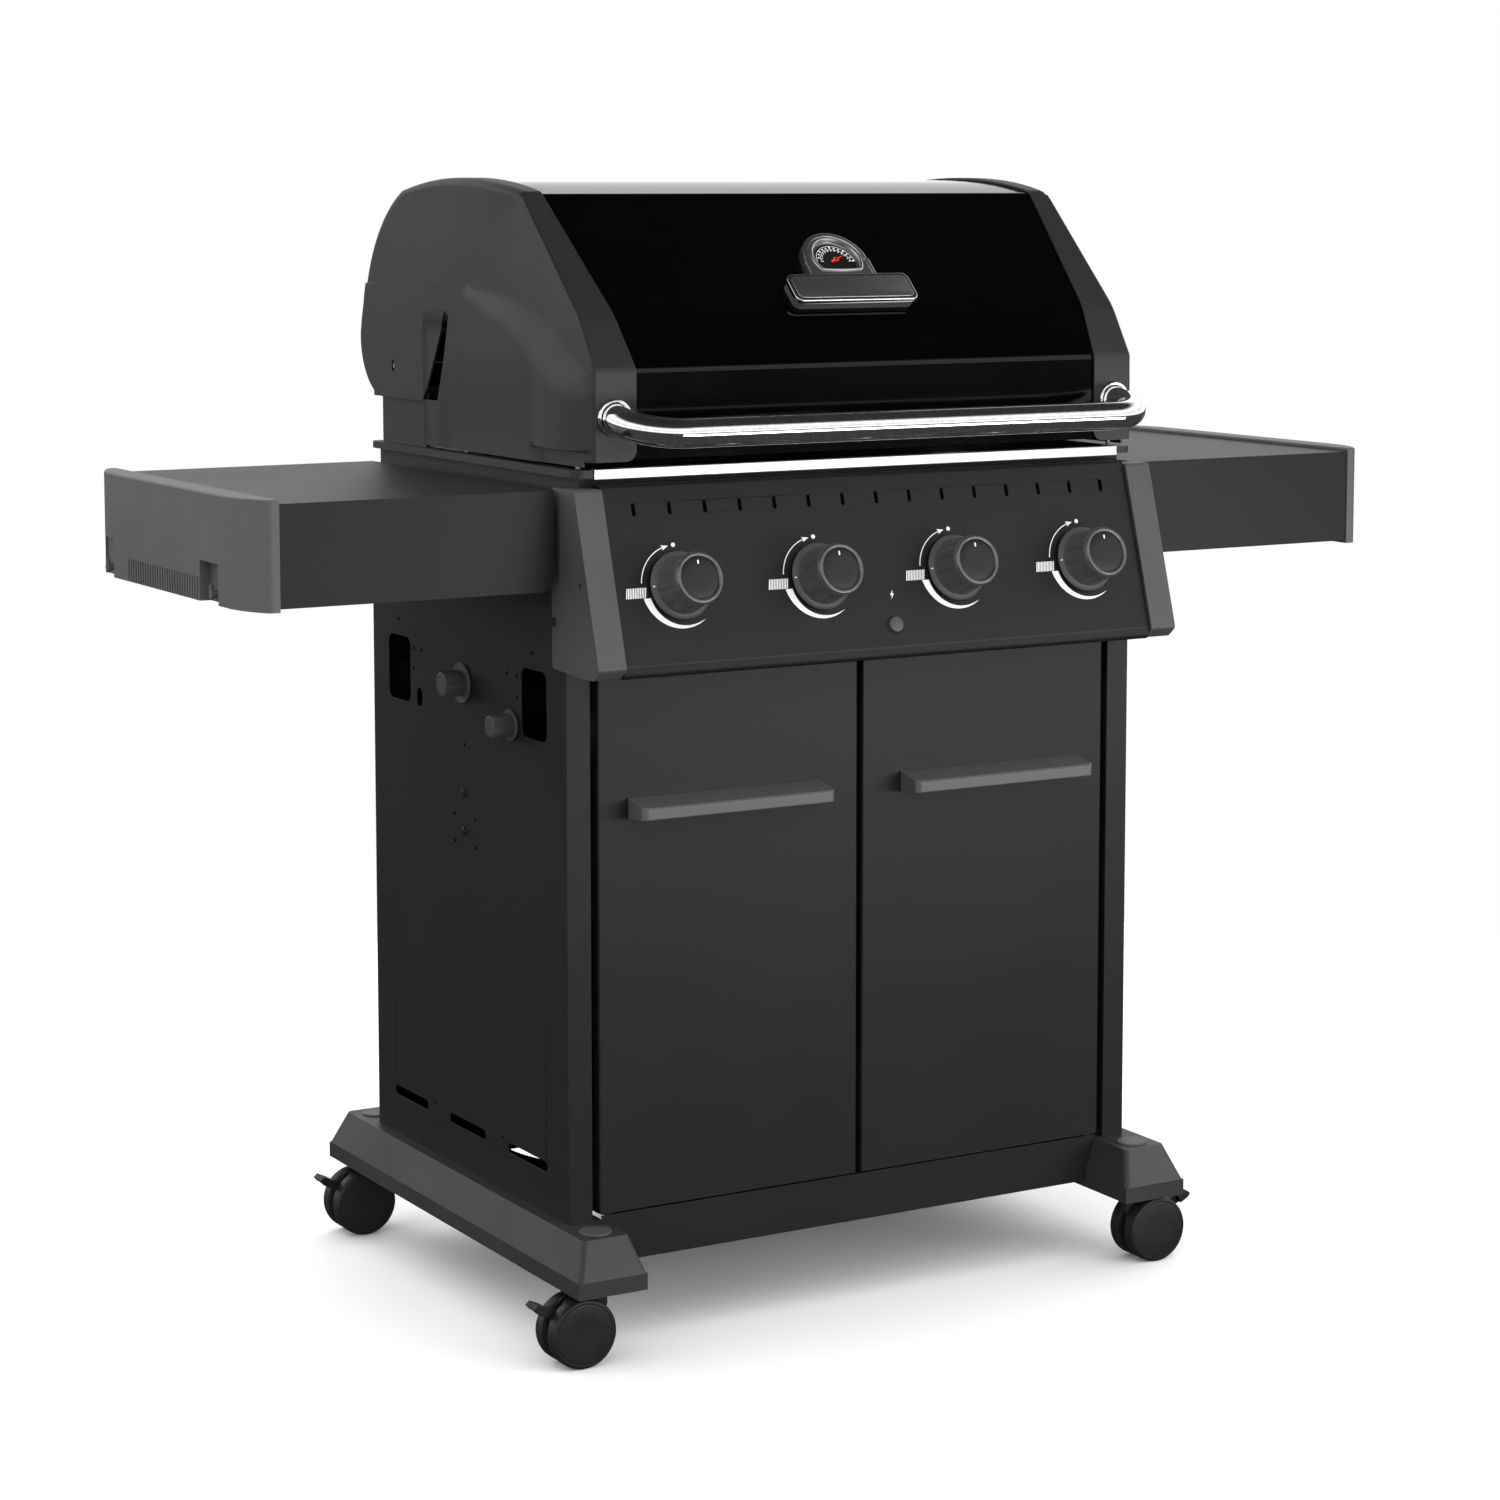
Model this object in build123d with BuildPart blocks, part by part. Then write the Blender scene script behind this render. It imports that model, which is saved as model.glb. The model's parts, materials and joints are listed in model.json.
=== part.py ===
from build123d import *
import math
import os

# A four-burner gas barbecue grill on a two-door cabinet with four swivel casters.
# Millimetres, +Z up, floor at Z = 0, X = 0 on the centre line, the front faces -Y.
# The pieces are drawn with Y = 0 on the cabinet's front plane; save() moves them to the
# part's own frame, whose origin lies on the floor under the middle of the whole grill.

# ---------------------------------------------------------------- driving dimensions
OVERALL_HALF = 722.0          # half of the width over both side shelves
CABINET_HALF = 367.1          # half of the cabinet's width
CABINET_DEPTH = 494.2
CABINET_FLOOR = 141.5         # underside of the side panels, top of the base beams
PANEL_TOP = 930.0
SHEET = 1.5                   # folded steel sheet
POST = 28.6                   # front fold of each side panel
FOLD_TOP = 766.0
DOOR_TOP = 738.0
DOOR_BOTTOM = 148.0
DOOR_SKIN = 1.2
DOOR_DEPTH = 18.0
DOOR_OUTER = 330.0
DOOR_INNER = 3.5
DOOR_PIVOT = (319.0, 8.0)     # X and Y of a door's hinge pins
PIN = 4.0                     # radius of the door hinge pins
RUN = 0.05                    # radial clearance of a running fit
SHELF_TOP = 936.5
SHELF_BOTTOM = 829.3
SHELF_INNER = 379.0
SHELF_SHEET_END = 690.7
SHELF_DEPTH = (1.0, 464.5)
SHELF_PIVOT = (395.0, 845.3)  # X and Z of a shelf's fold-down axis
RAIL_TOP = 957.0              # top of the firebox rail
RAIL_BOTTOM = 949.0
RAIL_HALF = 362.0
RAIL_Y = (-12.0, 510.0)
FIREBOX_HALF = 350.0
FIREBOX_Y = (2.0, 506.0)
FIREBOX_WALL = 5.0
FASCIA_HALF = 338.7
FASCIA_TOP = (-25.0, 939.0)   # Y and Z of the top of the control panel's face
FASCIA_BOTTOM = (-80.0, 755.0)
FASCIA_SLOPE = (FASCIA_TOP[0] - FASCIA_BOTTOM[0]) / (FASCIA_TOP[1] - FASCIA_BOTTOM[1])
FASCIA_TILT = math.atan(FASCIA_SLOPE)
BRACKET_OUTER = 372.0
KNOB_X = (-261.2, -87.5, 87.5, 261.2)
KNOB_Z = 834.0                # height where a knob's axis meets the control panel
KNOB_POINT = (FASCIA_TOP[0] - FASCIA_SLOPE * (FASCIA_TOP[1] - KNOB_Z), KNOB_Z)
STEM = 4.0                    # radius of a valve stem
LID_FRONT = -28.0
LID_LOW = 966.0
LID_BEND = 1063.0
LID_HALF = 352.0
LID_BAND = 3.0                # thickness of the end casting's rim over the hood sheet
LID_PIVOT = (458.0, 1047.0)   # Y and Z of the lid's hinge axis
LID_PIN = 3.0
SEAM_LOW = 296.0              # half width of the visible hood sheet at the bend
SEAM_TOP = 321.0              # and at the brow
HANDLE_X = 322.5
HANDLE_Z = 1012.5
HANDLE_REACH = 69.8
HANDLE_BEND = 50.0
HANDLE_R = 15.9
HANDLE_DROP = math.radians(11.1)
WHEEL_R = 38.2
CASTER_X = 354.0
CASTER_Y = (-36.0, 530.2)
CASTER_TRAIL = 24.4
BEAM_BOTTOM = 84.0
BEAM_RIM = 102.0
GRATE_Z = 935.0
BURNER_Z = 846.0
REACH_FRONT = LID_FRONT - HANDLE_REACH * math.cos(HANDLE_DROP) - HANDLE_R
REACH_BACK = CABINET_DEPTH + 81.0
DEPTH_CENTRE = (REACH_FRONT + REACH_BACK) / 2

os.makedirs("parts", exist_ok=True)


def save(builder, label):
    """Label a finished piece, move it to the part's frame and write its STEP file."""
    piece = builder.part.moved(Location((0, -DEPTH_CENTRE, 0)))
    piece.label = label
    export_step(piece, f"parts/{label}.step")


def block(x, y, z, mode=Mode.ADD):
    """A box between the two values given for each axis."""
    with Locations(((x[0] + x[1]) / 2, (y[0] + y[1]) / 2, (z[0] + z[1]) / 2)):
        Box(abs(x[1] - x[0]), abs(y[1] - y[0]), abs(z[1] - z[0]), mode=mode)


def rod(centre, radius, length, axis="Z", mode=Mode.ADD):
    """A cylinder along one of the three axes, centred on a point."""
    turn = {"X": (0, 90, 0), "Y": (90, 0, 0), "Z": (0, 0, 0)}[axis]
    with Locations(centre):
        Cylinder(radius, length, rotation=turn, mode=mode)


def span(side, inner, outer):
    """The X values between two distances from the centre line, on one side of it."""
    return (side * inner, side * outer)


def on_fascia(x, up=0.0):
    """Plane on the control panel's face, at X and a distance up its slope from the knob axis."""
    y = KNOB_POINT[0] + up * math.sin(FASCIA_TILT)
    z = KNOB_POINT[1] + up * math.cos(FASCIA_TILT)
    normal = (0, -math.cos(FASCIA_TILT), math.sin(FASCIA_TILT))
    return Plane(origin=(x, y, z), x_dir=(1, 0, 0), z_dir=normal)


SIDES = {"left": -1, "right": 1}

# ---------------------------------------------------------------- base
BEAM_TAPER = 19.0
BEAM_OUTER = 397.0
BEAM_INNER = 315.0
BEAM_Y = (-81.0, CABINET_DEPTH + 81.0)
BEAM_WALL = 4.0
BEAM_TOP_X = (327.0, 382.0)
BOSS_R = 15.0
STEM_R = 5.5


def beam_shell(side, inset, top):
    """One base beam's outer shape, shrunk by inset on every side, up to the height given."""
    low_x = span(side, BEAM_INNER + inset, BEAM_OUTER - inset)
    high_x = span(side, BEAM_TOP_X[0] + inset, BEAM_TOP_X[1] - inset)
    low_y = (BEAM_Y[0] + inset, BEAM_Y[1] - inset)
    high_y = (BEAM_Y[0] + BEAM_TAPER + inset, BEAM_Y[1] - BEAM_TAPER - inset)
    with BuildPart() as shell:
        block(low_x, low_y, (BEAM_BOTTOM, BEAM_RIM))
        for height, xs, ys in ((BEAM_RIM, low_x, low_y), (top, high_x, high_y)):
            with BuildSketch(Plane.XY.offset(height)):
                with Locations((sum(xs) / 2, sum(ys) / 2)):
                    RectangleRounded(abs(xs[1] - xs[0]), ys[1] - ys[0], 6)
        loft()
    return shell.part


with BuildPart() as base_beams:
    for side in SIDES.values():
        add(beam_shell(side, 0, CABINET_FLOOR))
        add(beam_shell(side, BEAM_WALL, CABINET_FLOOR - BEAM_WALL), mode=Mode.SUBTRACT)
        for y in CASTER_Y:
            boss_top = CABINET_FLOOR - BEAM_WALL / 2
            rod((side * CASTER_X, y, (BEAM_BOTTOM + boss_top) / 2), BOSS_R, boss_top - BEAM_BOTTOM)
            rod((side * CASTER_X, y, BEAM_BOTTOM + 22), STEM_R + RUN, 44, mode=Mode.SUBTRACT)
save(base_beams, "base_beams")

PLUG_R = 17.5
with BuildPart() as beam_plugs:
    for side in SIDES.values():
        for y in CASTER_Y:
            rod((side * CASTER_X, y, CABINET_FLOOR + 0.9), PLUG_R, 1.8)
    top_edges = beam_plugs.edges().group_by(Axis.Z)[-1]
    fillet(top_edges, 1.0)
save(beam_plugs, "beam_plugs")

BASE_RAIL_TOP = 145.5
BRACE_BOTTOM = 690.0
BRACE_TOP = 765.0
TRAY_REST = 699.6
with BuildPart() as frame_rails:
    # front and rear base rails: channels whose ends follow the slope of the beams
    for face_y, inward in ((0.0, 1), (CABINET_DEPTH, -1)):
        slope = (BEAM_TOP_X[0] - BEAM_INNER) / (CABINET_FLOOR - BEAM_RIM)
        low_x = BEAM_INNER - 0.4
        top_x = low_x + slope * (BASE_RAIL_TOP - BEAM_RIM)
        with BuildSketch(Plane.XZ.offset(-face_y)):
            with BuildLine():
                Polyline(
                    (-low_x, 92), (low_x, 92), (low_x, BEAM_RIM), (top_x, BASE_RAIL_TOP),
                    (-top_x, BASE_RAIL_TOP), (-low_x, BEAM_RIM), close=True,
                )
            make_face()
        extrude(amount=-2.0 * inward)
        block((-low_x, low_x), (face_y, face_y + 30 * inward), (92, 94))
        block((-low_x, low_x), (face_y, face_y + 40 * inward), (BASE_RAIL_TOP - 2, BASE_RAIL_TOP))
    # front top brace with the shelf that holds the upper door pins, and the rear top brace
    block((-338.4, 338.4), (22.4, 24), (BRACE_BOTTOM, BRACE_TOP))
    block((-338.4, 338.4), (2, 24), (741, 743))
    block((-345, 345), (468, 470), (668, TRAY_REST))
    block((-345, 345), (470, 492.6), (668, 670))
    # two runners for the grease tray
    for x in (-130, 130):
        block((x - 10, x + 10), (24, 468), (TRAY_REST - 4, TRAY_REST))
save(frame_rails, "frame_rails")

FLOOR_Z = (145.6, 147.1)
TANK_WELL = (-165.0, 250.0, 150.0)   # centre X, centre Y and radius of the gas bottle's opening
with BuildPart() as cabinet_floor:
    block((-338.2, 338.2), (22.5, 492.2), FLOOR_Z)
    rod((TANK_WELL[0], TANK_WELL[1], FLOOR_Z[1] + 6), TANK_WELL[2] + 2, 12)
    rod((TANK_WELL[0], TANK_WELL[1], FLOOR_Z[1]), TANK_WELL[2], 60, mode=Mode.SUBTRACT)
save(cabinet_floor, "cabinet_floor")

# ---------------------------------------------------------------- cabinet sides and back
SIDE_WINDOWS = ((421.5, 698.5, 59, 75), (76.0, 698.0, 60, 76))   # Y, Z, width, height
LOW_SLOTS = ((400.5, 91), (250.5, 93), (99.0, 96))               # Y and length, at LOW_SLOT_Z
LOW_SLOT_Z = 192.5
SMALL_HOLES = (
    (423, 755), (383, 725), (361, 725), (383, 701), (80, 754),
    (141, 725), (117, 725), (117, 700), (250, 631), (337, 200), (161, 200),
)
ACCESSORY_HOLES = (250.5, 532.8, 53.7, 31.1)                     # Y, Z and the two spacings
ACCESSORY_R = 2.4
HAND_KNOBS = ((253.5, 700.7, 23.0, 14.5), (131.0, 669.0, 17.5, 13.0))  # Y, Z, disc R, grip R
SIDE_SCREWS = ((252.0, 576.5), (252.0, 532.6))
SCREW_HOLE = 2.4
BRACKET_SCREW = (17.5, 795.0)


def side_panel(side):
    """A cabinet side: flat skin, deep front post fold, shallow rear fold and its openings."""
    outer = side * CABINET_HALF
    heights = (CABINET_FLOOR, PANEL_TOP)
    with BuildPart() as panel:
        block(span(side, CABINET_HALF - SHEET, CABINET_HALF), (0, CABINET_DEPTH), heights)
        block(span(side, CABINET_HALF - POST, CABINET_HALF), (0, SHEET), heights)
        # the return of the front fold and the rear fold stop below the firebox
        below = (CABINET_FLOOR, FOLD_TOP)
        block(span(side, CABINET_HALF - POST, CABINET_HALF - POST + SHEET), (0, 22), below)
        block(
            span(side, CABINET_HALF - 22, CABINET_HALF),
            (CABINET_DEPTH - SHEET, CABINET_DEPTH), below,
        )
        with BuildSketch(Plane.YZ.offset(outer)):
            for y, z, width, height in SIDE_WINDOWS:
                with Locations((y, z)):
                    RectangleRounded(width, height, 10)
            for y, length in LOW_SLOTS:
                with Locations((y, LOW_SLOT_Z)):
                    SlotOverall(length, 11)
            with Locations((367.5, 670)):
                SlotOverall(22, 14, rotation=90)
            with Locations(*SMALL_HOLES):
                Circle(2.2)
            with Locations((ACCESSORY_HOLES[0], ACCESSORY_HOLES[1])):
                with GridLocations(ACCESSORY_HOLES[2], ACCESSORY_HOLES[3], 2, 2):
                    Circle(ACCESSORY_R)
            with Locations(*SIDE_SCREWS, BRACKET_SCREW):
                Circle(SCREW_HOLE)
            with Locations(*((y, z) for y, z, _, _ in HAND_KNOBS)):
                Circle(4.4)
        extrude(amount=2 * SHEET, both=True, mode=Mode.SUBTRACT)
    return panel


for name, side in SIDES.items():
    save(side_panel(side), f"side_panel_{name}")

with BuildPart() as rear_panel:
    block(
        (-366, 366), (CABINET_DEPTH, CABINET_DEPTH + 1.2), (CABINET_FLOOR + 0.1, FOLD_TOP),
    )
    with BuildSketch(Plane.XZ.offset(-CABINET_DEPTH)):
        # the grease tray slides out through this opening
        with Locations((0, 714)):
            RectangleRounded(304, 36, 4)
    extrude(amount=3, both=True, mode=Mode.SUBTRACT)
save(rear_panel, "rear_panel")

GRIP_LENGTH = 24.0
with BuildPart() as side_hand_knobs:
    for y, z, disc, grip in HAND_KNOBS:
        face = -CABINET_HALF
        rod((face - 1.6, y, z), disc, 3.0, "X")
        rod((face - 3.1 - GRIP_LENGTH / 2, y, z), grip, GRIP_LENGTH, "X")
        rod((face + 6, y, z), 4.0, 14.0, "X")
        with Locations(Location((face - 3.1 - GRIP_LENGTH / 2, y, z), (0, 90, 0))):
            with PolarLocations(grip + 0.6, 18):
                Cylinder(1.3, GRIP_LENGTH, mode=Mode.SUBTRACT)
save(side_hand_knobs, "side_hand_knobs")


def screw(x, y, z, side):
    """A round-headed screw standing out of a side face, with its shank."""
    rod((x + side * 1.2, y, z), 5.0, 2.4, "X")
    rod((x - side * 4, y, z), 2.0, 8.0, "X")


with BuildPart() as frame_screws:
    for side in SIDES.values():
        for y, z in SIDE_SCREWS:
            screw(side * CABINET_HALF, y, z, side)
        screw(side * BRACKET_OUTER, *BRACKET_SCREW, side)
save(frame_screws, "frame_screws")

# ---------------------------------------------------------------- doors
with BuildPart() as door_hinge_pins:
    for side in SIDES.values():
        x, y = side * DOOR_PIVOT[0], DOOR_PIVOT[1]
        rod((x, y, (BASE_RAIL_TOP + DOOR_BOTTOM - 0.3) / 2), 7, DOOR_BOTTOM - 0.3 - BASE_RAIL_TOP)
        rod((x, y, DOOR_BOTTOM + 6), PIN, 13)
        rod((x, y, (DOOR_TOP + 0.3 + 741) / 2), 7, 741 - DOOR_TOP - 0.3)
        rod((x, y, DOOR_TOP - 6), PIN, 13)
save(door_hinge_pins, "door_hinge_pins")

DOOR_Y = (-1.0, DOOR_DEPTH - 1.0)


def door(side):
    """A folded steel door pan, open at the back, with a hinge bore in its top and bottom."""
    with BuildPart() as pan:
        block(span(side, DOOR_INNER, DOOR_OUTER), DOOR_Y, (DOOR_BOTTOM, DOOR_TOP))
        fillet(pan.edges().filter_by(Axis.Z).group_by(Axis.Y)[0], 2.0)
        block(
            span(side, DOOR_INNER + DOOR_SKIN, DOOR_OUTER - DOOR_SKIN),
            (DOOR_Y[0] + DOOR_SKIN, DOOR_Y[1] + 1),
            (DOOR_BOTTOM + DOOR_SKIN, DOOR_TOP - DOOR_SKIN), mode=Mode.SUBTRACT,
        )
        # return lips behind the vertical edges
        for lip in ((DOOR_INNER, DOOR_INNER + 14), (DOOR_OUTER - 14, DOOR_OUTER)):
            block(span(side, *lip), (DOOR_Y[1] - DOOR_SKIN, DOOR_Y[1]), (DOOR_BOTTOM, DOOR_TOP))
        rod(
            (side * DOOR_PIVOT[0], DOOR_PIVOT[1], (DOOR_BOTTOM + DOOR_TOP) / 2),
            PIN + RUN, 700, mode=Mode.SUBTRACT,
        )
    return pan


PULL_X = (53.0, 294.0)
PULL_Z = (578.0, 602.0)
PULL_FRONT = -38.0


def door_handle(side):
    """A moulded pull: sloping top, front lip and a finger hollow that opens downwards."""
    with BuildPart() as pull:
        with BuildSketch(Plane.YZ.offset(min(span(side, *PULL_X)))):
            with BuildLine():
                Polyline(
                    (DOOR_Y[0], PULL_Z[0]), (DOOR_Y[0], PULL_Z[1]), (PULL_FRONT + 2, PULL_Z[1] - 7),
                    (PULL_FRONT, PULL_Z[1] - 9), (PULL_FRONT, PULL_Z[0] + 3.5), close=True,
                )
            make_face()
        extrude(amount=PULL_X[1] - PULL_X[0])
        ends = pull.edges().filter_by(Axis.Z).group_by(Axis.Y)[0]
        chamfer(ends, 5.0)
        with BuildSketch(Plane.YZ.offset(min(span(side, *PULL_X)) + 5)):
            with BuildLine():
                Polyline(
                    (DOOR_Y[0] - 4, PULL_Z[0] - 1), (DOOR_Y[0] - 4, PULL_Z[1] - 5),
                    (PULL_FRONT + 4, PULL_Z[1] - 12), (PULL_FRONT + 4, PULL_Z[0] - 1), close=True,
                )
            make_face()
        extrude(amount=PULL_X[1] - PULL_X[0] - 10, mode=Mode.SUBTRACT)
    return pull


for name, side in SIDES.items():
    save(door(side), f"door_{name}")
    save(door_handle(side), f"door_handle_{name}")

# ---------------------------------------------------------------- control panel
SLOT_COUNT = 15
SLOT_PITCH = 43.2
SLOT_UP = 84.8                # up the slope from the knob axis
IGNITER_UP = -58.0
IGNITER_R = 9.0
FASCIA_SHEET = 1.5
with BuildPart() as control_panel:
    with BuildSketch(Plane.YZ.offset(-FASCIA_HALF)):
        with BuildLine() as outline:
            FilletPolyline(
                (-8, 942), (FASCIA_TOP[0] + 3 * FASCIA_SLOPE, 942), FASCIA_BOTTOM,
                (-78.6, 741.5), (-50, 741),
                radius=6,
            )
            offset(amount=-FASCIA_SHEET, side=Side.LEFT)
        make_face()
    extrude(amount=2 * FASCIA_HALF)
    with BuildSketch(on_fascia(0, SLOT_UP)):
        with GridLocations(SLOT_PITCH, 1, SLOT_COUNT, 1):
            SlotOverall(14, 4.6, rotation=90)
    extrude(amount=6, both=True, mode=Mode.SUBTRACT)
    with BuildSketch(on_fascia(0)):
        with Locations(*((x, 0) for x in KNOB_X)):
            Circle(STEM + 2)
        with Locations((0, IGNITER_UP)):
            Circle(IGNITER_R + 0.3)
    extrude(amount=8, both=True, mode=Mode.SUBTRACT)
save(control_panel, "control_panel")

BRACKET_INNER = 339.0
with BuildPart() as panel_brackets:
    for side in SIDES.values():
        with BuildSketch(Plane.YZ.offset(min(span(side, BRACKET_INNER, BRACKET_OUTER)))):
            with BuildLine():
                FilletPolyline(
                    (22, 938), (-30, 938), (-85, 753), (-72, 742), (-40, 742), (22, 745),
                    radius=5, close=True,
                )
            make_face()
        extrude(amount=BRACKET_OUTER - BRACKET_INNER)
        # hollow behind the face: only the outer cheek and the front band remain
        with BuildSketch(Plane.YZ.offset(min(span(side, BRACKET_INNER - 1, BRACKET_OUTER - 3)))):
            with BuildLine():
                Polyline(
                    (30, 934), (-26.8, 934), (-80.9, 752), (-71, 745), (30, 748.2), close=True,
                )
            make_face()
        extrude(amount=BRACKET_OUTER - BRACKET_INNER - 2, mode=Mode.SUBTRACT)
        block(span(side, BRACKET_INNER - 1, BRACKET_OUTER - 3), (-0.2, 30), (740, 940), mode=Mode.SUBTRACT)
        rod((side * BRACKET_OUTER, *BRACKET_SCREW), SCREW_HOLE, 12, "X", mode=Mode.SUBTRACT)
        rod((side * BRACKET_OUTER, -43, 838.5), 3.2, 12, "X", mode=Mode.SUBTRACT)
save(panel_brackets, "panel_brackets")

SKIRT_R = 37.0
GRIP_R = 30.0
CAP_R = 22.0
KNOB_HEIGHT = 48.5
SKIRT_GAP = 4.5


def valve_stem(x):
    """The turning stem of one burner valve, square to the control panel."""
    with BuildPart() as stem:
        with BuildSketch(on_fascia(x).offset(-26)):
            Circle(STEM)
        extrude(amount=57)
    return stem


def knob(x):
    """A control knob: flat skirt, tapered fluted grip, rim ring and sunken cap."""
    base = on_fascia(x)
    with BuildPart() as grip:
        with BuildSketch(Plane(origin=base.origin, x_dir=base.x_dir, z_dir=-base.y_dir)):
            with BuildLine():
                # local X is the radius, local Y runs outwards along the knob's axis
                Polyline(
                    (0, SKIRT_GAP), (SKIRT_R, SKIRT_GAP), (SKIRT_R, SKIRT_GAP + 3),
                    (SKIRT_R - 2, SKIRT_GAP + 4.5), (GRIP_R + 2, SKIRT_GAP + 5.5),
                    (GRIP_R, 18), (GRIP_R - 2, 38), (GRIP_R - 3, 46), (GRIP_R - 5, KNOB_HEIGHT),
                    (CAP_R, KNOB_HEIGHT), (CAP_R, KNOB_HEIGHT - 1.2), (0, KNOB_HEIGHT - 1.2),
                    close=True,
                )
            make_face()
        revolve(axis=Axis(base.origin, base.z_dir))
        with BuildSketch(base.offset(SKIRT_GAP + 7)):
            with PolarLocations(GRIP_R + 7.5, 10):
                Circle(9.5)
        extrude(amount=30, mode=Mode.SUBTRACT)
        with BuildSketch(base):
            Circle(STEM + RUN)
        extrude(amount=36, mode=Mode.SUBTRACT)
    return grip


for number, x in enumerate(KNOB_X, start=1):
    save(valve_stem(x), f"valve_stem_{number}")
    save(knob(x), f"knob_{number}")

with BuildPart() as igniter_button:
    with BuildSketch(on_fascia(0, IGNITER_UP).offset(-10)):
        Circle(IGNITER_R)
    extrude(amount=14)
    with BuildSketch(on_fascia(0, IGNITER_UP).offset(-10)):
        Circle(IGNITER_R + 2.5)
    extrude(amount=3)
save(igniter_button, "igniter_button")

# ---------------------------------------------------------------- gas train
MANIFOLD_BACK = 44.0          # behind the face of the control panel
with BuildPart() as gas_manifold:
    axis_plane = on_fascia(0).offset(-MANIFOLD_BACK)
    manifold_y, manifold_z = axis_plane.origin.Y, axis_plane.origin.Z
    rod((0, manifold_y, manifold_z), 9, 640, "X")
    rod((-305, manifold_y, manifold_z - 14), 9, 22)
    rod((-305, manifold_y, manifold_z - 33), 7.94, 18)
save(gas_manifold, "gas_manifold")

with BuildPart() as burner_valves:
    for x in KNOB_X:
        plane = on_fascia(x)
        with BuildSketch(plane.offset(-34.9)):
            Circle(12)
        extrude(amount=26)
        spout = plane.offset(-30).origin
        block((x - 5, x + 5), (spout.Y - 4, spout.Y + 4), (spout.Z + 4, BURNER_Z + 5))
        rod((x, spout.Y + 18, BURNER_Z), 4, 32, "Y")
        with BuildSketch(plane.offset(-26.5)):
            Circle(STEM + RUN)
        extrude(amount=30, mode=Mode.SUBTRACT)
save(burner_valves, "burner_valves")

BURNER_R = 12.0
with BuildPart() as burners:
    for x in KNOB_X:
        rod((x, 247, BURNER_Z), BURNER_R, 502, "Y")
        rod((x, 246, BURNER_Z), BURNER_R - 1.5, 502, "Y", mode=Mode.SUBTRACT)
save(burners, "burners")

# ---------------------------------------------------------------- firebox
LEDGE = 12.0
EAR_X = (344.5, 349.0)
EAR_SWEEP = 94.0              # reach of the ear's corners round the lid's hinge axis
with BuildPart() as firebox:
    block((-FIREBOX_HALF, FIREBOX_HALF), FIREBOX_Y, (800, RAIL_TOP - 2))
    for height, wide, deep in ((800, 700, 504), (770, 240, 220)):
        with BuildSketch(Plane.XY.offset(height)):
            with Locations((0, sum(FIREBOX_Y) / 2)):
                Rectangle(wide, deep)
    loft()
    with BuildSketch(Plane.XY.offset(RAIL_BOTTOM)):
        with Locations((0, sum(RAIL_Y) / 2)):
            RectangleRounded(2 * RAIL_HALF, RAIL_Y[1] - RAIL_Y[0], 12)
    extrude(amount=RAIL_TOP - RAIL_BOTTOM)
    inner_half = FIREBOX_HALF - FIREBOX_WALL
    inner_y = (FIREBOX_Y[0] + FIREBOX_WALL, FIREBOX_Y[1] - FIREBOX_WALL)
    block((-inner_half, inner_half), inner_y, (802, RAIL_TOP + 1), mode=Mode.SUBTRACT)
    for height, wide, deep in ((802, 2 * inner_half, inner_y[1] - inner_y[0]), (774, 232, 212)):
        with BuildSketch(Plane.XY.offset(height)):
            with Locations((0, sum(FIREBOX_Y) / 2)):
                Rectangle(wide, deep)
    loft(mode=Mode.SUBTRACT)
    rod((0, sum(FIREBOX_Y) / 2, 772), 30, 30, mode=Mode.SUBTRACT)
    for low, depth in ((GRATE_Z - 8, LEDGE), (872, 10)):
        with BuildSketch(Plane.XY.offset(low)):
            with Locations((0, sum(FIREBOX_Y) / 2)):
                Rectangle(2 * inner_half + 1, inner_y[1] - inner_y[0] + 1)
                Rectangle(
                    2 * (inner_half - depth), inner_y[1] - inner_y[0] - 2 * depth,
                    mode=Mode.SUBTRACT,
                )
        extrude(amount=7.9)
    for x in KNOB_X:
        rod((x, FIREBOX_Y[0], BURNER_Z), BURNER_R + 0.8, 24, "Y", mode=Mode.SUBTRACT)
    for side in SIDES.values():
        with BuildSketch(Plane.YZ.offset(min(span(side, *EAR_X)))):
            with BuildLine():
                FilletPolyline(
                    (381, RAIL_TOP - 4), (381, 1020), (436, 1068), (476, 1068), (500, 1022),
                    (500, RAIL_TOP - 4), radius=8, close=True,
                )
            make_face()
        extrude(amount=EAR_X[1] - EAR_X[0])
        rod((side * 346, *LID_PIVOT), LID_PIN + RUN, 16, "X", mode=Mode.SUBTRACT)
save(firebox, "firebox")

STRIP_HALF = 339.0
with BuildPart() as trim_strip:
    block((-STRIP_HALF, STRIP_HALF), (-13.6, -12.0), (946.5, 958.2))
    block((-STRIP_HALF, STRIP_HALF), (-13.6, -4.0), (RAIL_TOP, 958.2))
save(trim_strip, "trim_strip")

TAMER_HALF = 50.0
with BuildPart() as flame_tamers:
    for x in KNOB_X:
        shape = ((-TAMER_HALF, 880), (0, 912), (TAMER_HALF, 880))
        with BuildSketch(Plane.XZ.offset(-9)):
            with BuildLine():
                Polyline(
                    *((x + dx, z) for dx, z in shape),
                    *((x + dx, z + 1.8) for dx, z in reversed(shape)), close=True,
                )
            make_face()
        extrude(amount=-490)
save(flame_tamers, "flame_tamers")

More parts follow.
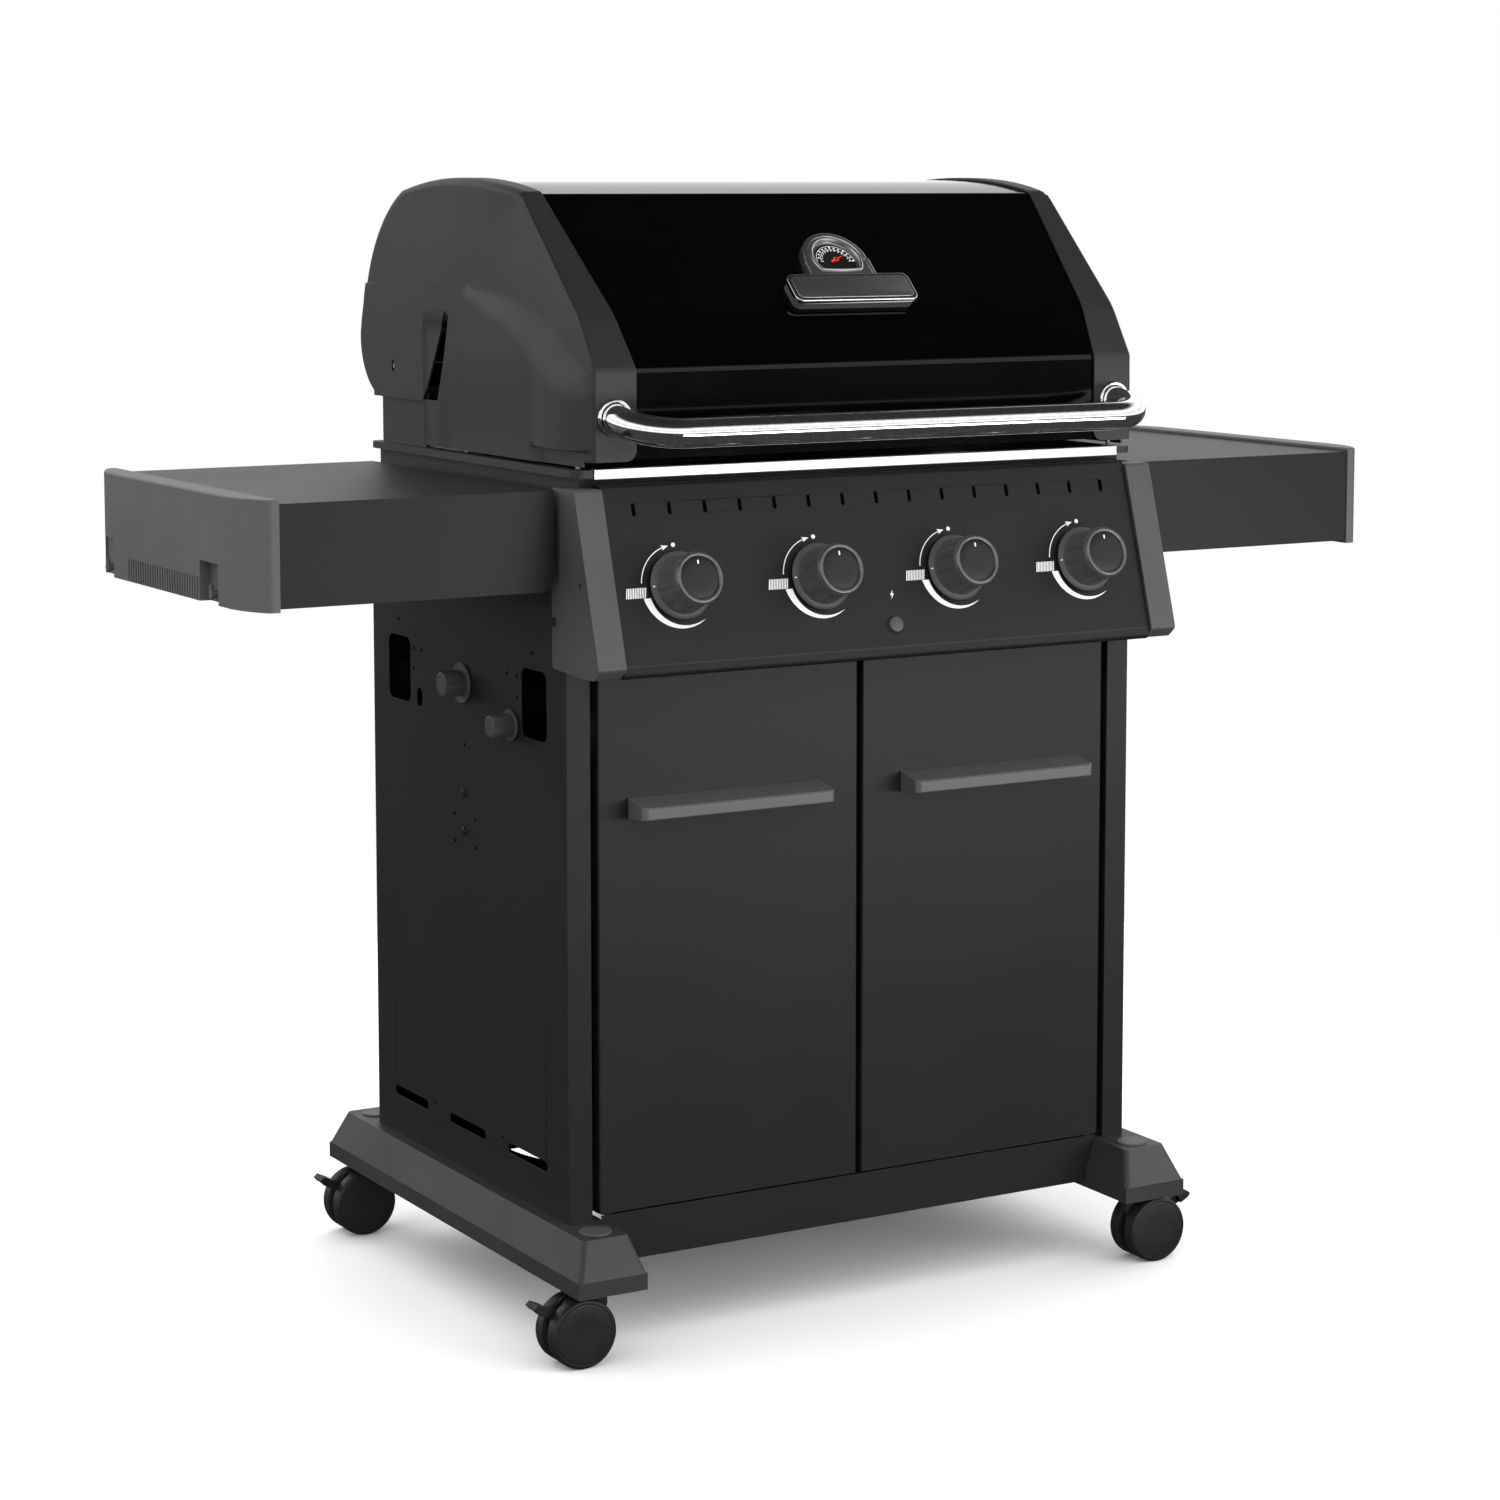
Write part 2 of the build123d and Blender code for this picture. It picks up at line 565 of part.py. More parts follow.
GRATE_Y = (9.0, 499.0)
GRATE_X = (1.5, 331.0)
BAR = 8.0
with BuildPart() as cooking_grates:
    for side in SIDES.values():
        middle = side * sum(GRATE_X) / 2
        width = GRATE_X[1] - GRATE_X[0]
        depth = GRATE_Y[1] - GRATE_Y[0]
        with BuildSketch(Plane.XY.offset(GRATE_Z)):
            with Locations((middle, sum(GRATE_Y) / 2)):
                Rectangle(width, depth)
                Rectangle(width - 2 * BAR, depth - 2 * BAR, mode=Mode.SUBTRACT)
                with GridLocations(19.5, 1, 16, 1):
                    Rectangle(BAR, depth)
                with GridLocations(1, 150, 1, 3):
                    Rectangle(width, BAR)
        extrude(amount=14)
save(cooking_grates, "cooking_grates")

RACK_Z = 1055.0
RACK_Y = (295.0, 400.0)
RACK_HALF = 339.0
with BuildPart() as warming_rack:
    for y in RACK_Y:
        rod((0, y, RACK_Z), 3, 2 * RACK_HALF, "X")
        for side in SIDES.values():
            leg_length = RACK_Z - GRATE_Z
            rod((side * RACK_HALF, y, GRATE_Z + leg_length / 2), 3, leg_length)
            with Locations((side * RACK_HALF, y, RACK_Z)):
                Sphere(3)
    for index in range(23):
        x = -330 + 30 * index
        rod((x, sum(RACK_Y) / 2, RACK_Z), 1.8, RACK_Y[1] - RACK_Y[0], "Y")
save(warming_rack, "warming_rack")

TRAY_X = 145.0
TRAY_Y = (60.0, 464.0)
with BuildPart() as grease_tray:
    block((-TRAY_X, TRAY_X), TRAY_Y, (700, 726))
    block(
        (-TRAY_X + 1.5, TRAY_X - 1.5), (TRAY_Y[0] + 1.5, TRAY_Y[1] - 1.5), (701.5, 730),
        mode=Mode.SUBTRACT,
    )
    block((-60, 60), (TRAY_Y[1], TRAY_Y[1] + 36), (700, 701.5))
    block((-60, 60), (TRAY_Y[1] + 34.5, TRAY_Y[1] + 36), (700, 716))
save(grease_tray, "grease_tray")

# ---------------------------------------------------------------- side shelves
LUG_Y = (40.0, 43.0)
BRACKET_Y = (46.0, 50.0)
SHELF_PIN = 5.0
SHELF_SKIN = 1.2


def mirrored_y(pair):
    """A pair of Y values reflected in the middle of the shelf's depth."""
    middle = sum(SHELF_DEPTH)
    return (middle - pair[1], middle - pair[0])


with BuildPart() as shelf_pivot_brackets:
    for side in SIDES.values():
        for plate, lug in ((BRACKET_Y, LUG_Y), (mirrored_y(BRACKET_Y), mirrored_y(LUG_Y))):
            block(span(side, CABINET_HALF, 405), plate, (833, 862))
            ends = (min(plate[0], lug[0] - 4), max(plate[1], lug[1] + 4))
            rod(
                (side * SHELF_PIVOT[0], sum(ends) / 2, SHELF_PIVOT[1]),
                SHELF_PIN, ends[1] - ends[0], "Y",
            )
save(shelf_pivot_brackets, "shelf_pivot_brackets")


def shelf(side):
    """A folded side shelf: top, deep aprons front and back, inner wall and pivot lugs."""
    corner = SHELF_PIVOT[0] - SHELF_INNER
    with BuildPart() as tray:
        with BuildSketch(Plane.XZ.offset(-SHELF_DEPTH[0])):
            with BuildLine():
                Line((side * SHELF_INNER, SHELF_TOP), (side * SHELF_SHEET_END, SHELF_TOP))
                Line((side * SHELF_SHEET_END, SHELF_TOP), (side * SHELF_SHEET_END, SHELF_BOTTOM))
                Line((side * SHELF_SHEET_END, SHELF_BOTTOM), (side * SHELF_PIVOT[0], SHELF_BOTTOM))
                RadiusArc(
                    (side * SHELF_PIVOT[0], SHELF_BOTTOM),
                    (side * SHELF_INNER, SHELF_BOTTOM + corner), side * corner,
                )
                Line((side * SHELF_INNER, SHELF_BOTTOM + corner), (side * SHELF_INNER, SHELF_TOP))
            make_face()
        extrude(amount=-(SHELF_DEPTH[1] - SHELF_DEPTH[0]))
        block(
            span(side, SHELF_INNER + SHELF_SKIN, SHELF_SHEET_END + 1),
            (SHELF_DEPTH[0] + SHELF_SKIN, SHELF_DEPTH[1] - SHELF_SKIN),
            (SHELF_BOTTOM - 1, SHELF_TOP - SHELF_SKIN), mode=Mode.SUBTRACT,
        )
        for plate, lug in ((BRACKET_Y, LUG_Y), (mirrored_y(BRACKET_Y), mirrored_y(LUG_Y))):
            block(
                span(side, SHELF_INNER - 1, SHELF_INNER + SHELF_SKIN + 1),
                (plate[0] - 2, plate[1] + 2), (820, 881), mode=Mode.SUBTRACT,
            )
            block(span(side, SHELF_INNER + SHELF_SKIN, 411), lug, (834, SHELF_TOP - SHELF_SKIN))
            rod(
                (side * SHELF_PIVOT[0], sum(lug) / 2, SHELF_PIVOT[1]),
                SHELF_PIN + RUN, 8, "Y", mode=Mode.SUBTRACT,
            )
        for lip in ((SHELF_DEPTH[0], SHELF_DEPTH[0] + 10), (SHELF_DEPTH[1] - 10, SHELF_DEPTH[1])):
            block(span(side, SHELF_PIVOT[0], SHELF_SHEET_END), lip, (SHELF_BOTTOM, SHELF_BOTTOM + 1.2))
    return tray


CAP_Y = (-0.5, 466.0)
CAP_Z = (826.0, 941.0)
CORNER_X = 702.0              # where the rounded corner leaves the straight front edge
CORNER_RUN = 66.0             # its length along the outer face, and its radius
CORNER_R = 118.9
HOOKS = (420.5, 114.0)        # Y of the tool hooks on the outer face
HOOK_WIDTH = 51.0
HOOK_TOP = 869.0
HOOK_DEPTH = 12.0


def shelf_cap(side):
    """The moulded outer end of a shelf, rounded in plan, with two tool hooks and a ribbed grip."""
    with BuildPart() as cap:
        with BuildSketch(Plane.XY.offset(CAP_Z[0])) as plan:
            with BuildLine():
                outer = side * OVERALL_HALF
                near, far = CAP_Y
                Line((side * SHELF_SHEET_END, far), (side * SHELF_SHEET_END, near))
                Line((side * SHELF_SHEET_END, near), (side * CORNER_X, near))
                RadiusArc((side * CORNER_X, near), (outer, near + CORNER_RUN), -side * CORNER_R)
                Line((outer, near + CORNER_RUN), (outer, far - CORNER_RUN))
                RadiusArc((outer, far - CORNER_RUN), (side * CORNER_X, far), -side * CORNER_R)
                Line((side * CORNER_X, far), (side * SHELF_SHEET_END, far))
            make_face()
            for y in CAP_Y:
                nose = plan.vertices().sort_by_distance((side * CORNER_X, y))[0]
                fillet(nose, 7)
        extrude(amount=CAP_Z[1] - CAP_Z[0])
        chamfer(cap.edges().group_by(Axis.Z)[-1], 1.5)
        for y in HOOKS:
            block(
                span(side, OVERALL_HALF - HOOK_DEPTH, OVERALL_HALF + 1),
                (y - HOOK_WIDTH / 2, y + HOOK_WIDTH / 2), (CAP_Z[0] - 1, HOOK_TOP),
                mode=Mode.SUBTRACT,
            )
            rod((side * (OVERALL_HALF - 7), y, CAP_Z[0] + 9), 4.5, 12, "X")
            rod((side * (OVERALL_HALF - 2.5), y, CAP_Z[0] + 12), 2.5, 14)
        # hollow underside between the hooks, as the moulding has
        block(
            span(side, SHELF_SHEET_END - 1, SHELF_SHEET_END + 14), (150, 385),
            (CAP_Z[0] - 1, CAP_Z[1] - 6), mode=Mode.SUBTRACT,
        )
        with BuildSketch(Plane.YZ.offset(side * OVERALL_HALF)):
            with Locations((sum(CAP_Y) / 2, 838)):
                with GridLocations(7.2, 1, 33, 1):
                    Rectangle(3.4, 26)
        extrude(amount=1.6, both=True, mode=Mode.SUBTRACT)
    return cap


for name, side in SIDES.items():
    save(shelf(side), f"shelf_{name}")
    save(shelf_cap(side), f"shelf_cap_{name}")

# ---------------------------------------------------------------- lid
BROW = (142.0, 1249.0)
KNEE = (7.0, 1119.0)
CROWN = (288.0, 1264.0)
SHOULDER = (440.0, 1251.0)
REAR = (550.0, 1090.0)
TAIL = (512.0, 1014.0)
HEEL = (506.0, 1010.0)
BELOW = 900.0


def hood_face(inset):
    """The closed YZ outline of the hood, shrunk by inset and run down past its lower edges."""
    with BuildSketch(Plane.YZ) as outline:
        with BuildLine():
            Polyline((HEEL[0], BELOW), (LID_FRONT, BELOW), (LID_FRONT, LID_BEND), KNEE, BROW)
            ThreePointArc(BROW, CROWN, SHOULDER)
            ThreePointArc(SHOULDER, (521, 1183), REAR)
            ThreePointArc(REAR, (543, 1045), TAIL)
            Polyline(TAIL, HEEL, (HEEL[0], BELOW))
        make_face()
        for corner, radius in (((LID_FRONT, LID_BEND), 14), (KNEE, 100), (BROW, 12), (SHOULDER, 24)):
            fillet(outline.vertices().sort_by_distance(corner)[0], radius)
        if inset:
            offset(amount=-inset)
    return outline.sketch_local


def end_casting():
    """The right end casting of the lid: cheek, rim band, pillar bulge, hinge pad and openings."""
    seam_start = SEAM_LOW - 6
    with BuildPart() as casting:
        with BuildSketch(Plane.YZ.offset(seam_start)):
            add(hood_face(0))
        extrude(amount=LID_HALF - seam_start)
        rim = casting.faces().sort_by(Axis.X)[-1].edges()
        fillet(rim, 8)
        with BuildSketch(Plane.YZ.offset(seam_start - 1)):
            add(hood_face(LID_BAND))
        extrude(amount=LID_HALF - 4 - seam_start + 1, mode=Mode.SUBTRACT)
        # the hood sheet shows between the castings, wider at the brow than at the bend
        with BuildSketch(Plane.XZ.offset(200)):
            with BuildLine():
                Polyline(
                    (seam_start - 2, BELOW - 5), (SEAM_LOW, BELOW - 5), (SEAM_LOW, LID_BEND),
                    (SEAM_TOP, BROW[1]), (SEAM_TOP, 1300), (seam_start - 2, 1300), close=True,
                )
            make_face()
        extrude(amount=-900, mode=Mode.SUBTRACT)
        # raised pillar at the front and flat hinge pad at the rear
        for offset_x, shrink in ((LID_HALF - 1, 0), (LID_HALF + 7, 1)):
            with BuildSketch(Plane.YZ.offset(offset_x)):
                with BuildLine():
                    Polyline(
                        (-14 + 16 * shrink, 977 + 8 * shrink), (78 - 12 * shrink, 977 + 8 * shrink),
                        (120 - 16 * shrink, 1040), (236 - 30 * shrink, 1112 - 8 * shrink),
                        (225 - 30 * shrink, 1150 - 16 * shrink), (80 + 10 * shrink, 1150 - 16 * shrink),
                        (6 + 16 * shrink, 1096 - 6 * shrink), (-14 + 16 * shrink, 1062 - 2 * shrink),
                        close=True,
                    )
                make_face()
        loft()
        with BuildSketch(Plane.YZ.offset(LID_HALF - 0.5)):
            with BuildLine():
                Polyline(
                    (272, 1141), (526, 1141), (538, 1092), (532, 1048), (508, 1016), (500, HEEL[1]),
                    (378, HEEL[1]), (318, 1111), close=True,
                )
            make_face()
        extrude(amount=2.5)
        # lower edges: boss at the front, cheek along the rail, hinge pad at the rear
        block((280, 370), (-60, -8), (BELOW - 10, LID_LOW), mode=Mode.SUBTRACT)
        block((280, 370), (-60, 600), (BELOW - 10, 960), mode=Mode.SUBTRACT)
        block((280, 370), (378, 600), (BELOW - 10, HEEL[1]), mode=Mode.SUBTRACT)
        # room for the firebox ear beside the hinge pad
        block((339, 349.6), (370, 600), (1000, 1078), mode=Mode.SUBTRACT)
        rod(((346 + 349.6) / 2, *LID_PIVOT), EAR_SWEEP, 3.6, "X", mode=Mode.SUBTRACT)
        with BuildSketch(Plane.YZ.offset(LID_HALF - 12)):
            with BuildLine():
                FilletPolyline((378, 1009), (312, 1122), (344, 1009), radius=3, close=True)
            make_face()
            with Locations(LID_PIVOT):
                SlotOverall(14, 2 * LID_PIN + 0.6, rotation=90)
        extrude(amount=24, mode=Mode.SUBTRACT)
    return casting


with BuildPart() as right_casting:
    add(end_casting())
save(right_casting, "lid_end_cap_right")
with BuildPart() as left_casting:
    add(mirror(right_casting.part, about=Plane.YZ, mode=Mode.PRIVATE))
save(left_casting, "lid_end_cap_left")

HOOD_HALF = 338.0
HOOD_SKIN = 1.8
GAUGE_HOLE = 6.0
GAUGE_Y = 58.0                # of the gauge's centre on the hood's front slope
slope_rise = BROW[1] - KNEE[1]
slope_run = BROW[0] - KNEE[0]
slope_length = math.hypot(slope_rise, slope_run)
UP_SLOPE = (0, slope_run / slope_length, slope_rise / slope_length)
OFF_SLOPE = (0, -slope_rise / slope_length, slope_run / slope_length)


def on_hood(up, out):
    """Plane parallel to the hood's front slope, up from the gauge's centre, out from the sheet."""
    centre = (0, GAUGE_Y, KNEE[1] + (GAUGE_Y - KNEE[0]) * slope_rise / slope_run)
    lift = out - LID_BAND - 0.1
    origin = tuple(c + up * u + lift * n for c, u, n in zip(centre, UP_SLOPE, OFF_SLOPE))
    return Plane(origin=origin, x_dir=(1, 0, 0), z_dir=OFF_SLOPE)


with BuildPart() as lid_panel:
    with BuildSketch(Plane.YZ.offset(-HOOD_HALF)):
        add(hood_face(LID_BAND + 0.1))
    extrude(amount=2 * HOOD_HALF)
    with BuildSketch(Plane.YZ.offset(-HOOD_HALF - 1)):
        add(hood_face(LID_BAND + 0.1 + HOOD_SKIN))
    extrude(amount=2 * HOOD_HALF + 2, mode=Mode.SUBTRACT)
    block((-400, 400), (-60, 200), (BELOW - 20, LID_LOW + 2), mode=Mode.SUBTRACT)
    block((-400, 400), (200, 600), (BELOW - 20, HEEL[1] + 2), mode=Mode.SUBTRACT)
    with BuildSketch(on_hood(0, 0)):
        Circle(GAUGE_HOLE)
    extrude(amount=20, both=True, mode=Mode.SUBTRACT)
save(lid_panel, "lid_panel")

handle_plane = Plane(
    origin=(0, LID_FRONT, HANDLE_Z), x_dir=(1, 0, 0),
    z_dir=(0, math.sin(HANDLE_DROP), -math.cos(HANDLE_DROP)),
)
with BuildPart() as lid_handle:
    with BuildLine(handle_plane) as tube_path:
        FilletPolyline(
            (-HANDLE_X, -8), (-HANDLE_X, HANDLE_REACH), (HANDLE_X, HANDLE_REACH), (HANDLE_X, -8),
            radius=HANDLE_BEND,
        )
    with BuildSketch(Plane(origin=tube_path.line @ 0, z_dir=tube_path.line % 0)):
        Circle(HANDLE_R)
        Circle(HANDLE_R - 2.2, mode=Mode.SUBTRACT)
    sweep()
    block((-400, 400), (LID_FRONT, LID_FRONT + 60), (900, 1100), mode=Mode.SUBTRACT)
save(lid_handle, "lid_handle")

BEZEL_R = 20.3
with BuildPart() as handle_bezels:
    for side in SIDES.values():
        with BuildSketch(Plane.XZ.offset(-LID_FRONT)):
            with Locations((side * HANDLE_X, HANDLE_Z)):
                Circle(BEZEL_R)
                Circle(HANDLE_R + 1.1, mode=Mode.SUBTRACT)
        extrude(amount=4)
save(handle_bezels, "handle_bezels")

BADGE_HALF = 78.0
DIAL_R = 25.0
with BuildPart() as gauge_housing:
    with BuildSketch(on_hood(0, 0)):
        Circle(40)
        with Locations((0, -18)):
            Rectangle(80, 40)
    extrude(amount=13)
    with BuildSketch(on_hood(-46, 0)):
        RectangleRounded(2 * BADGE_HALF, 40, 8)
    extrude(amount=15)
    with BuildSketch(on_hood(0, 9)):
        Circle(DIAL_R)
        with Locations((0, -DIAL_R - 17)):
            Rectangle(2 * DIAL_R, 2 * DIAL_R, mode=Mode.SUBTRACT)
    extrude(amount=10, mode=Mode.SUBTRACT)
    with BuildSketch(on_hood(0, -1)):
        Circle(GAUGE_HOLE)
    extrude(amount=30, mode=Mode.SUBTRACT)
save(gauge_housing, "gauge_housing")

SPINDLE_R = 1.2
with BuildPart() as gauge_dial:
    with BuildSketch(on_hood(0, 9)):
        Circle(DIAL_R - 0.4)
        with Locations((0, -DIAL_R - 16.6)):
            Rectangle(2 * DIAL_R, 2 * DIAL_R, mode=Mode.SUBTRACT)
    extrude(amount=0.8)
    with BuildSketch(on_hood(0, 12.4)):
        Circle(SPINDLE_R)
    extrude(amount=-4)
    with BuildSketch(on_hood(0, 9)):
        Circle(3)
    extrude(amount=-70)
save(gauge_dial, "gauge_dial")

POINTER_ANGLE = 26.0
with BuildPart() as gauge_pointer:
    with BuildSketch(on_hood(0, 10.6)):
        Circle(3.2)
        with BuildLine():
            tip = Vector(15, 0).rotate(Axis.Z, POINTER_ANGLE)
            tail = Vector(-8, 0).rotate(Axis.Z, POINTER_ANGLE)
            across = Vector(0, 1.5).rotate(Axis.Z, POINTER_ANGLE)
            Polyline(tip, tail + across, tail - across, tip)
        make_face()
        Circle(SPINDLE_R + RUN, mode=Mode.SUBTRACT)
    extrude(amount=0.8)
save(gauge_pointer, "gauge_pointer")

with BuildPart() as lid_bolts:
    for side in SIDES.values():
        # hinge pin with its inner head, rubber-tipped stop and the bolt beside the hinge pad
        rod((side * 345.5, *LID_PIVOT), LID_PIN, 16, "X")
        rod((side * 340.5, *LID_PIVOT), 6, 6, "X")
        rod((side * 344.9, 12, 962), 3.0, 9)
        rod((side * 342, 304, 1103), 4, 11.8, "X")
save(lid_bolts, "lid_bolts")

# ---------------------------------------------------------------- casters
DISC_Y = (6.0, 23.0)          # each wheel's faces, from the caster's middle plane
FORK_HALF = 5.4
CHEEK = 1.2
AXLE_R = 4.0
BRAKE_PIVOT = 22.0            # from the wheel's centre, 45 degrees up on the trailing side


def caster_centre(side, y):
    return (side * (CASTER_X + CASTER_TRAIL), y, WHEEL_R)


def caster_plane(side, y):
    """XZ plane through the wheel's centre whose local X points to the trailing side."""
    return Plane(origin=caster_centre(side, y), x_dir=(side, 0, 0), z_dir=(0, -side, 0))


def caster_body(side, y):
    """The swivelling housing: stem, collar and the web that carries axle and brake."""
    x = side * CASTER_X
    pivot = BRAKE_PIVOT / math.sqrt(2)
    with BuildPart() as body:
        with BuildSketch(caster_plane(side, y)):
            Circle(18)
            with BuildLine():
                Polyline(
                    (-CASTER_TRAIL - 11, 44), (-CASTER_TRAIL + 11, 44), (14, 36), (24, 26),
                    (24, 8), (12, -13), (-14, -11), (-CASTER_TRAIL - 11, 24), close=True,
                )
            make_face()
        extrude(amount=FORK_HALF, both=True)
        with BuildSketch(caster_plane(side, y)):
            with BuildLine():
                Polyline((6, 50), (6, 8), (40, 8), (40, 50), close=True)
            make_face()
        extrude(amount=FORK_HALF - CHEEK, both=True, mode=Mode.SUBTRACT)
        rod((x, y, 80), 11, 6)
        rod((x, y, 100), STEM_R, 44)
        rod(caster_centre(side, y), AXLE_R + RUN, 20, "Y", mode=Mode.SUBTRACT)
        trail = side * (CASTER_X + CASTER_TRAIL + pivot)
        rod((trail, y, WHEEL_R + pivot), 2.5, 2 * FORK_HALF, "Y")
    return body


def caster_wheels(side, y):
    """Both wheels of a caster on their axle."""
    centre = caster_centre(side, y)
    width = DISC_Y[1] - DISC_Y[0]
    with BuildPart() as wheels:
        for hand in (-1, 1):
            rod((centre[0], y + hand * sum(DISC_Y) / 2, centre[2]), WHEEL_R, width, "Y")
        outer = wheels.edges().filter_by(GeomType.CIRCLE)
        rims = [edge for edge in outer if abs(abs(edge.center().Y - y) - DISC_Y[1]) < 0.1]
        fillet(rims, 3.5)
        rod(centre, AXLE_R, 2 * DISC_Y[0] + 2, "Y")
    return wheels


def caster_brake(side, y):
    """The brake pedal: a web between the wheels and a wider foot pad behind them."""
    pivot = BRAKE_PIVOT / math.sqrt(2)
    with BuildPart() as pedal:
        with BuildSketch(caster_plane(side, y)):
            with BuildLine():
                Polyline(
                    (10, 12), (19, 10.5), (46, 24), (52, 30), (47, 34), (34, 30), (14, 22), close=True,
                )
            make_face()
            with Locations((pivot, pivot)):
                Circle(2.5 + RUN, mode=Mode.SUBTRACT)
        extrude(amount=FORK_HALF - CHEEK - 0.3, both=True)
        with BuildSketch(caster_plane(side, y)):
            with BuildLine():
                Polyline((41, 23.5), (51, 28.5), (55, 33), (50, 37), (38, 31.5), close=True)
            make_face()
        extrude(amount=11, both=True)
    return pedal


for depth_name, y in zip(("front", "rear"), CASTER_Y):
    for name, side in SIDES.items():
        save(caster_body(side, y), f"caster_body_{depth_name}_{name}")
        save(caster_wheels(side, y), f"caster_wheels_{depth_name}_{name}")
        save(caster_brake(side, y), f"caster_brake_{depth_name}_{name}")
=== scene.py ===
import json
import math

import bmesh
import bpy
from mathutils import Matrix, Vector


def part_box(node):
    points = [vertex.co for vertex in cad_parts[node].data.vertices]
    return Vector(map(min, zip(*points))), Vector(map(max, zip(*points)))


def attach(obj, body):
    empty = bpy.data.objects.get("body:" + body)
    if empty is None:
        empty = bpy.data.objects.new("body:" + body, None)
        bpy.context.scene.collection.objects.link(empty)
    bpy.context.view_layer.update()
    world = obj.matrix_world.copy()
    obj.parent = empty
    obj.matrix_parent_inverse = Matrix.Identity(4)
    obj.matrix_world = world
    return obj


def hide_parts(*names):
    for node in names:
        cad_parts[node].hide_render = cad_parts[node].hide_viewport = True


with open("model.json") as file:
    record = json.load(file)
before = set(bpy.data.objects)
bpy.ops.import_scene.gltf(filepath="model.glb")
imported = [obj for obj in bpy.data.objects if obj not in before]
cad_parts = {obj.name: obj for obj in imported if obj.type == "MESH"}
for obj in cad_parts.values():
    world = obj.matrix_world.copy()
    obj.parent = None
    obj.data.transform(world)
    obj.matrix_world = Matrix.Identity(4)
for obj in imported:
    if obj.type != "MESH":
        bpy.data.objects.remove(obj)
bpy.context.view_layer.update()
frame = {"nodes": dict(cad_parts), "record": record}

# Looks of a black four-burner gas barbecue. Lengths are millimetres in the drawing's own axes, where
# Y = 0 is the cabinet's front plane, and at() turns them into metres in the frame.
NODES = frame["nodes"]
FRONT_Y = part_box("side_panel_left")[0].y
MM = 0.001
SIDES = {"left": -1, "right": 1}


def at(x, y, z):
    """A point given in drawing millimetres, in the frame's metres."""
    return Vector((x * MM, FRONT_Y + y * MM, z * MM))


# ------------------------------------------------------------------ materials
MIX_A, MIX_B, MIXED = 6, 7, 2     # a Mix node's colour sockets
WEAR_RADIUS = 0.0012              # metres of worn edge
BUMP_DISTANCE = 0.0004


def node(tree, kind, **values):
    """A shader node with its attributes set, and its inputs where the name starts with i_."""
    made = tree.nodes.new(kind)
    for name, value in values.items():
        if name.startswith("i_"):
            made.inputs[name[2:].replace("_", " ")].default_value = value
        else:
            setattr(made, name, value)
    return made


def scale_range(tree, source, low, high, new_low, new_high):
    """A Map Range node's output for a value socket."""
    made = node(tree, "ShaderNodeMapRange")
    made.inputs["From Min"].default_value = low
    made.inputs["From Max"].default_value = high
    made.inputs["To Min"].default_value = new_low
    made.inputs["To Max"].default_value = new_high
    tree.links.new(source, made.inputs["Value"])
    return made.outputs["Result"]


def noise_of(tree, vector, scale, detail=2.0, roughness=0.5):
    """A noise texture's value over a vector socket."""
    made = node(tree, "ShaderNodeTexNoise", i_Scale=scale, i_Detail=detail, i_Roughness=roughness)
    tree.links.new(vector, made.inputs["Vector"])
    return made.outputs["Fac"]


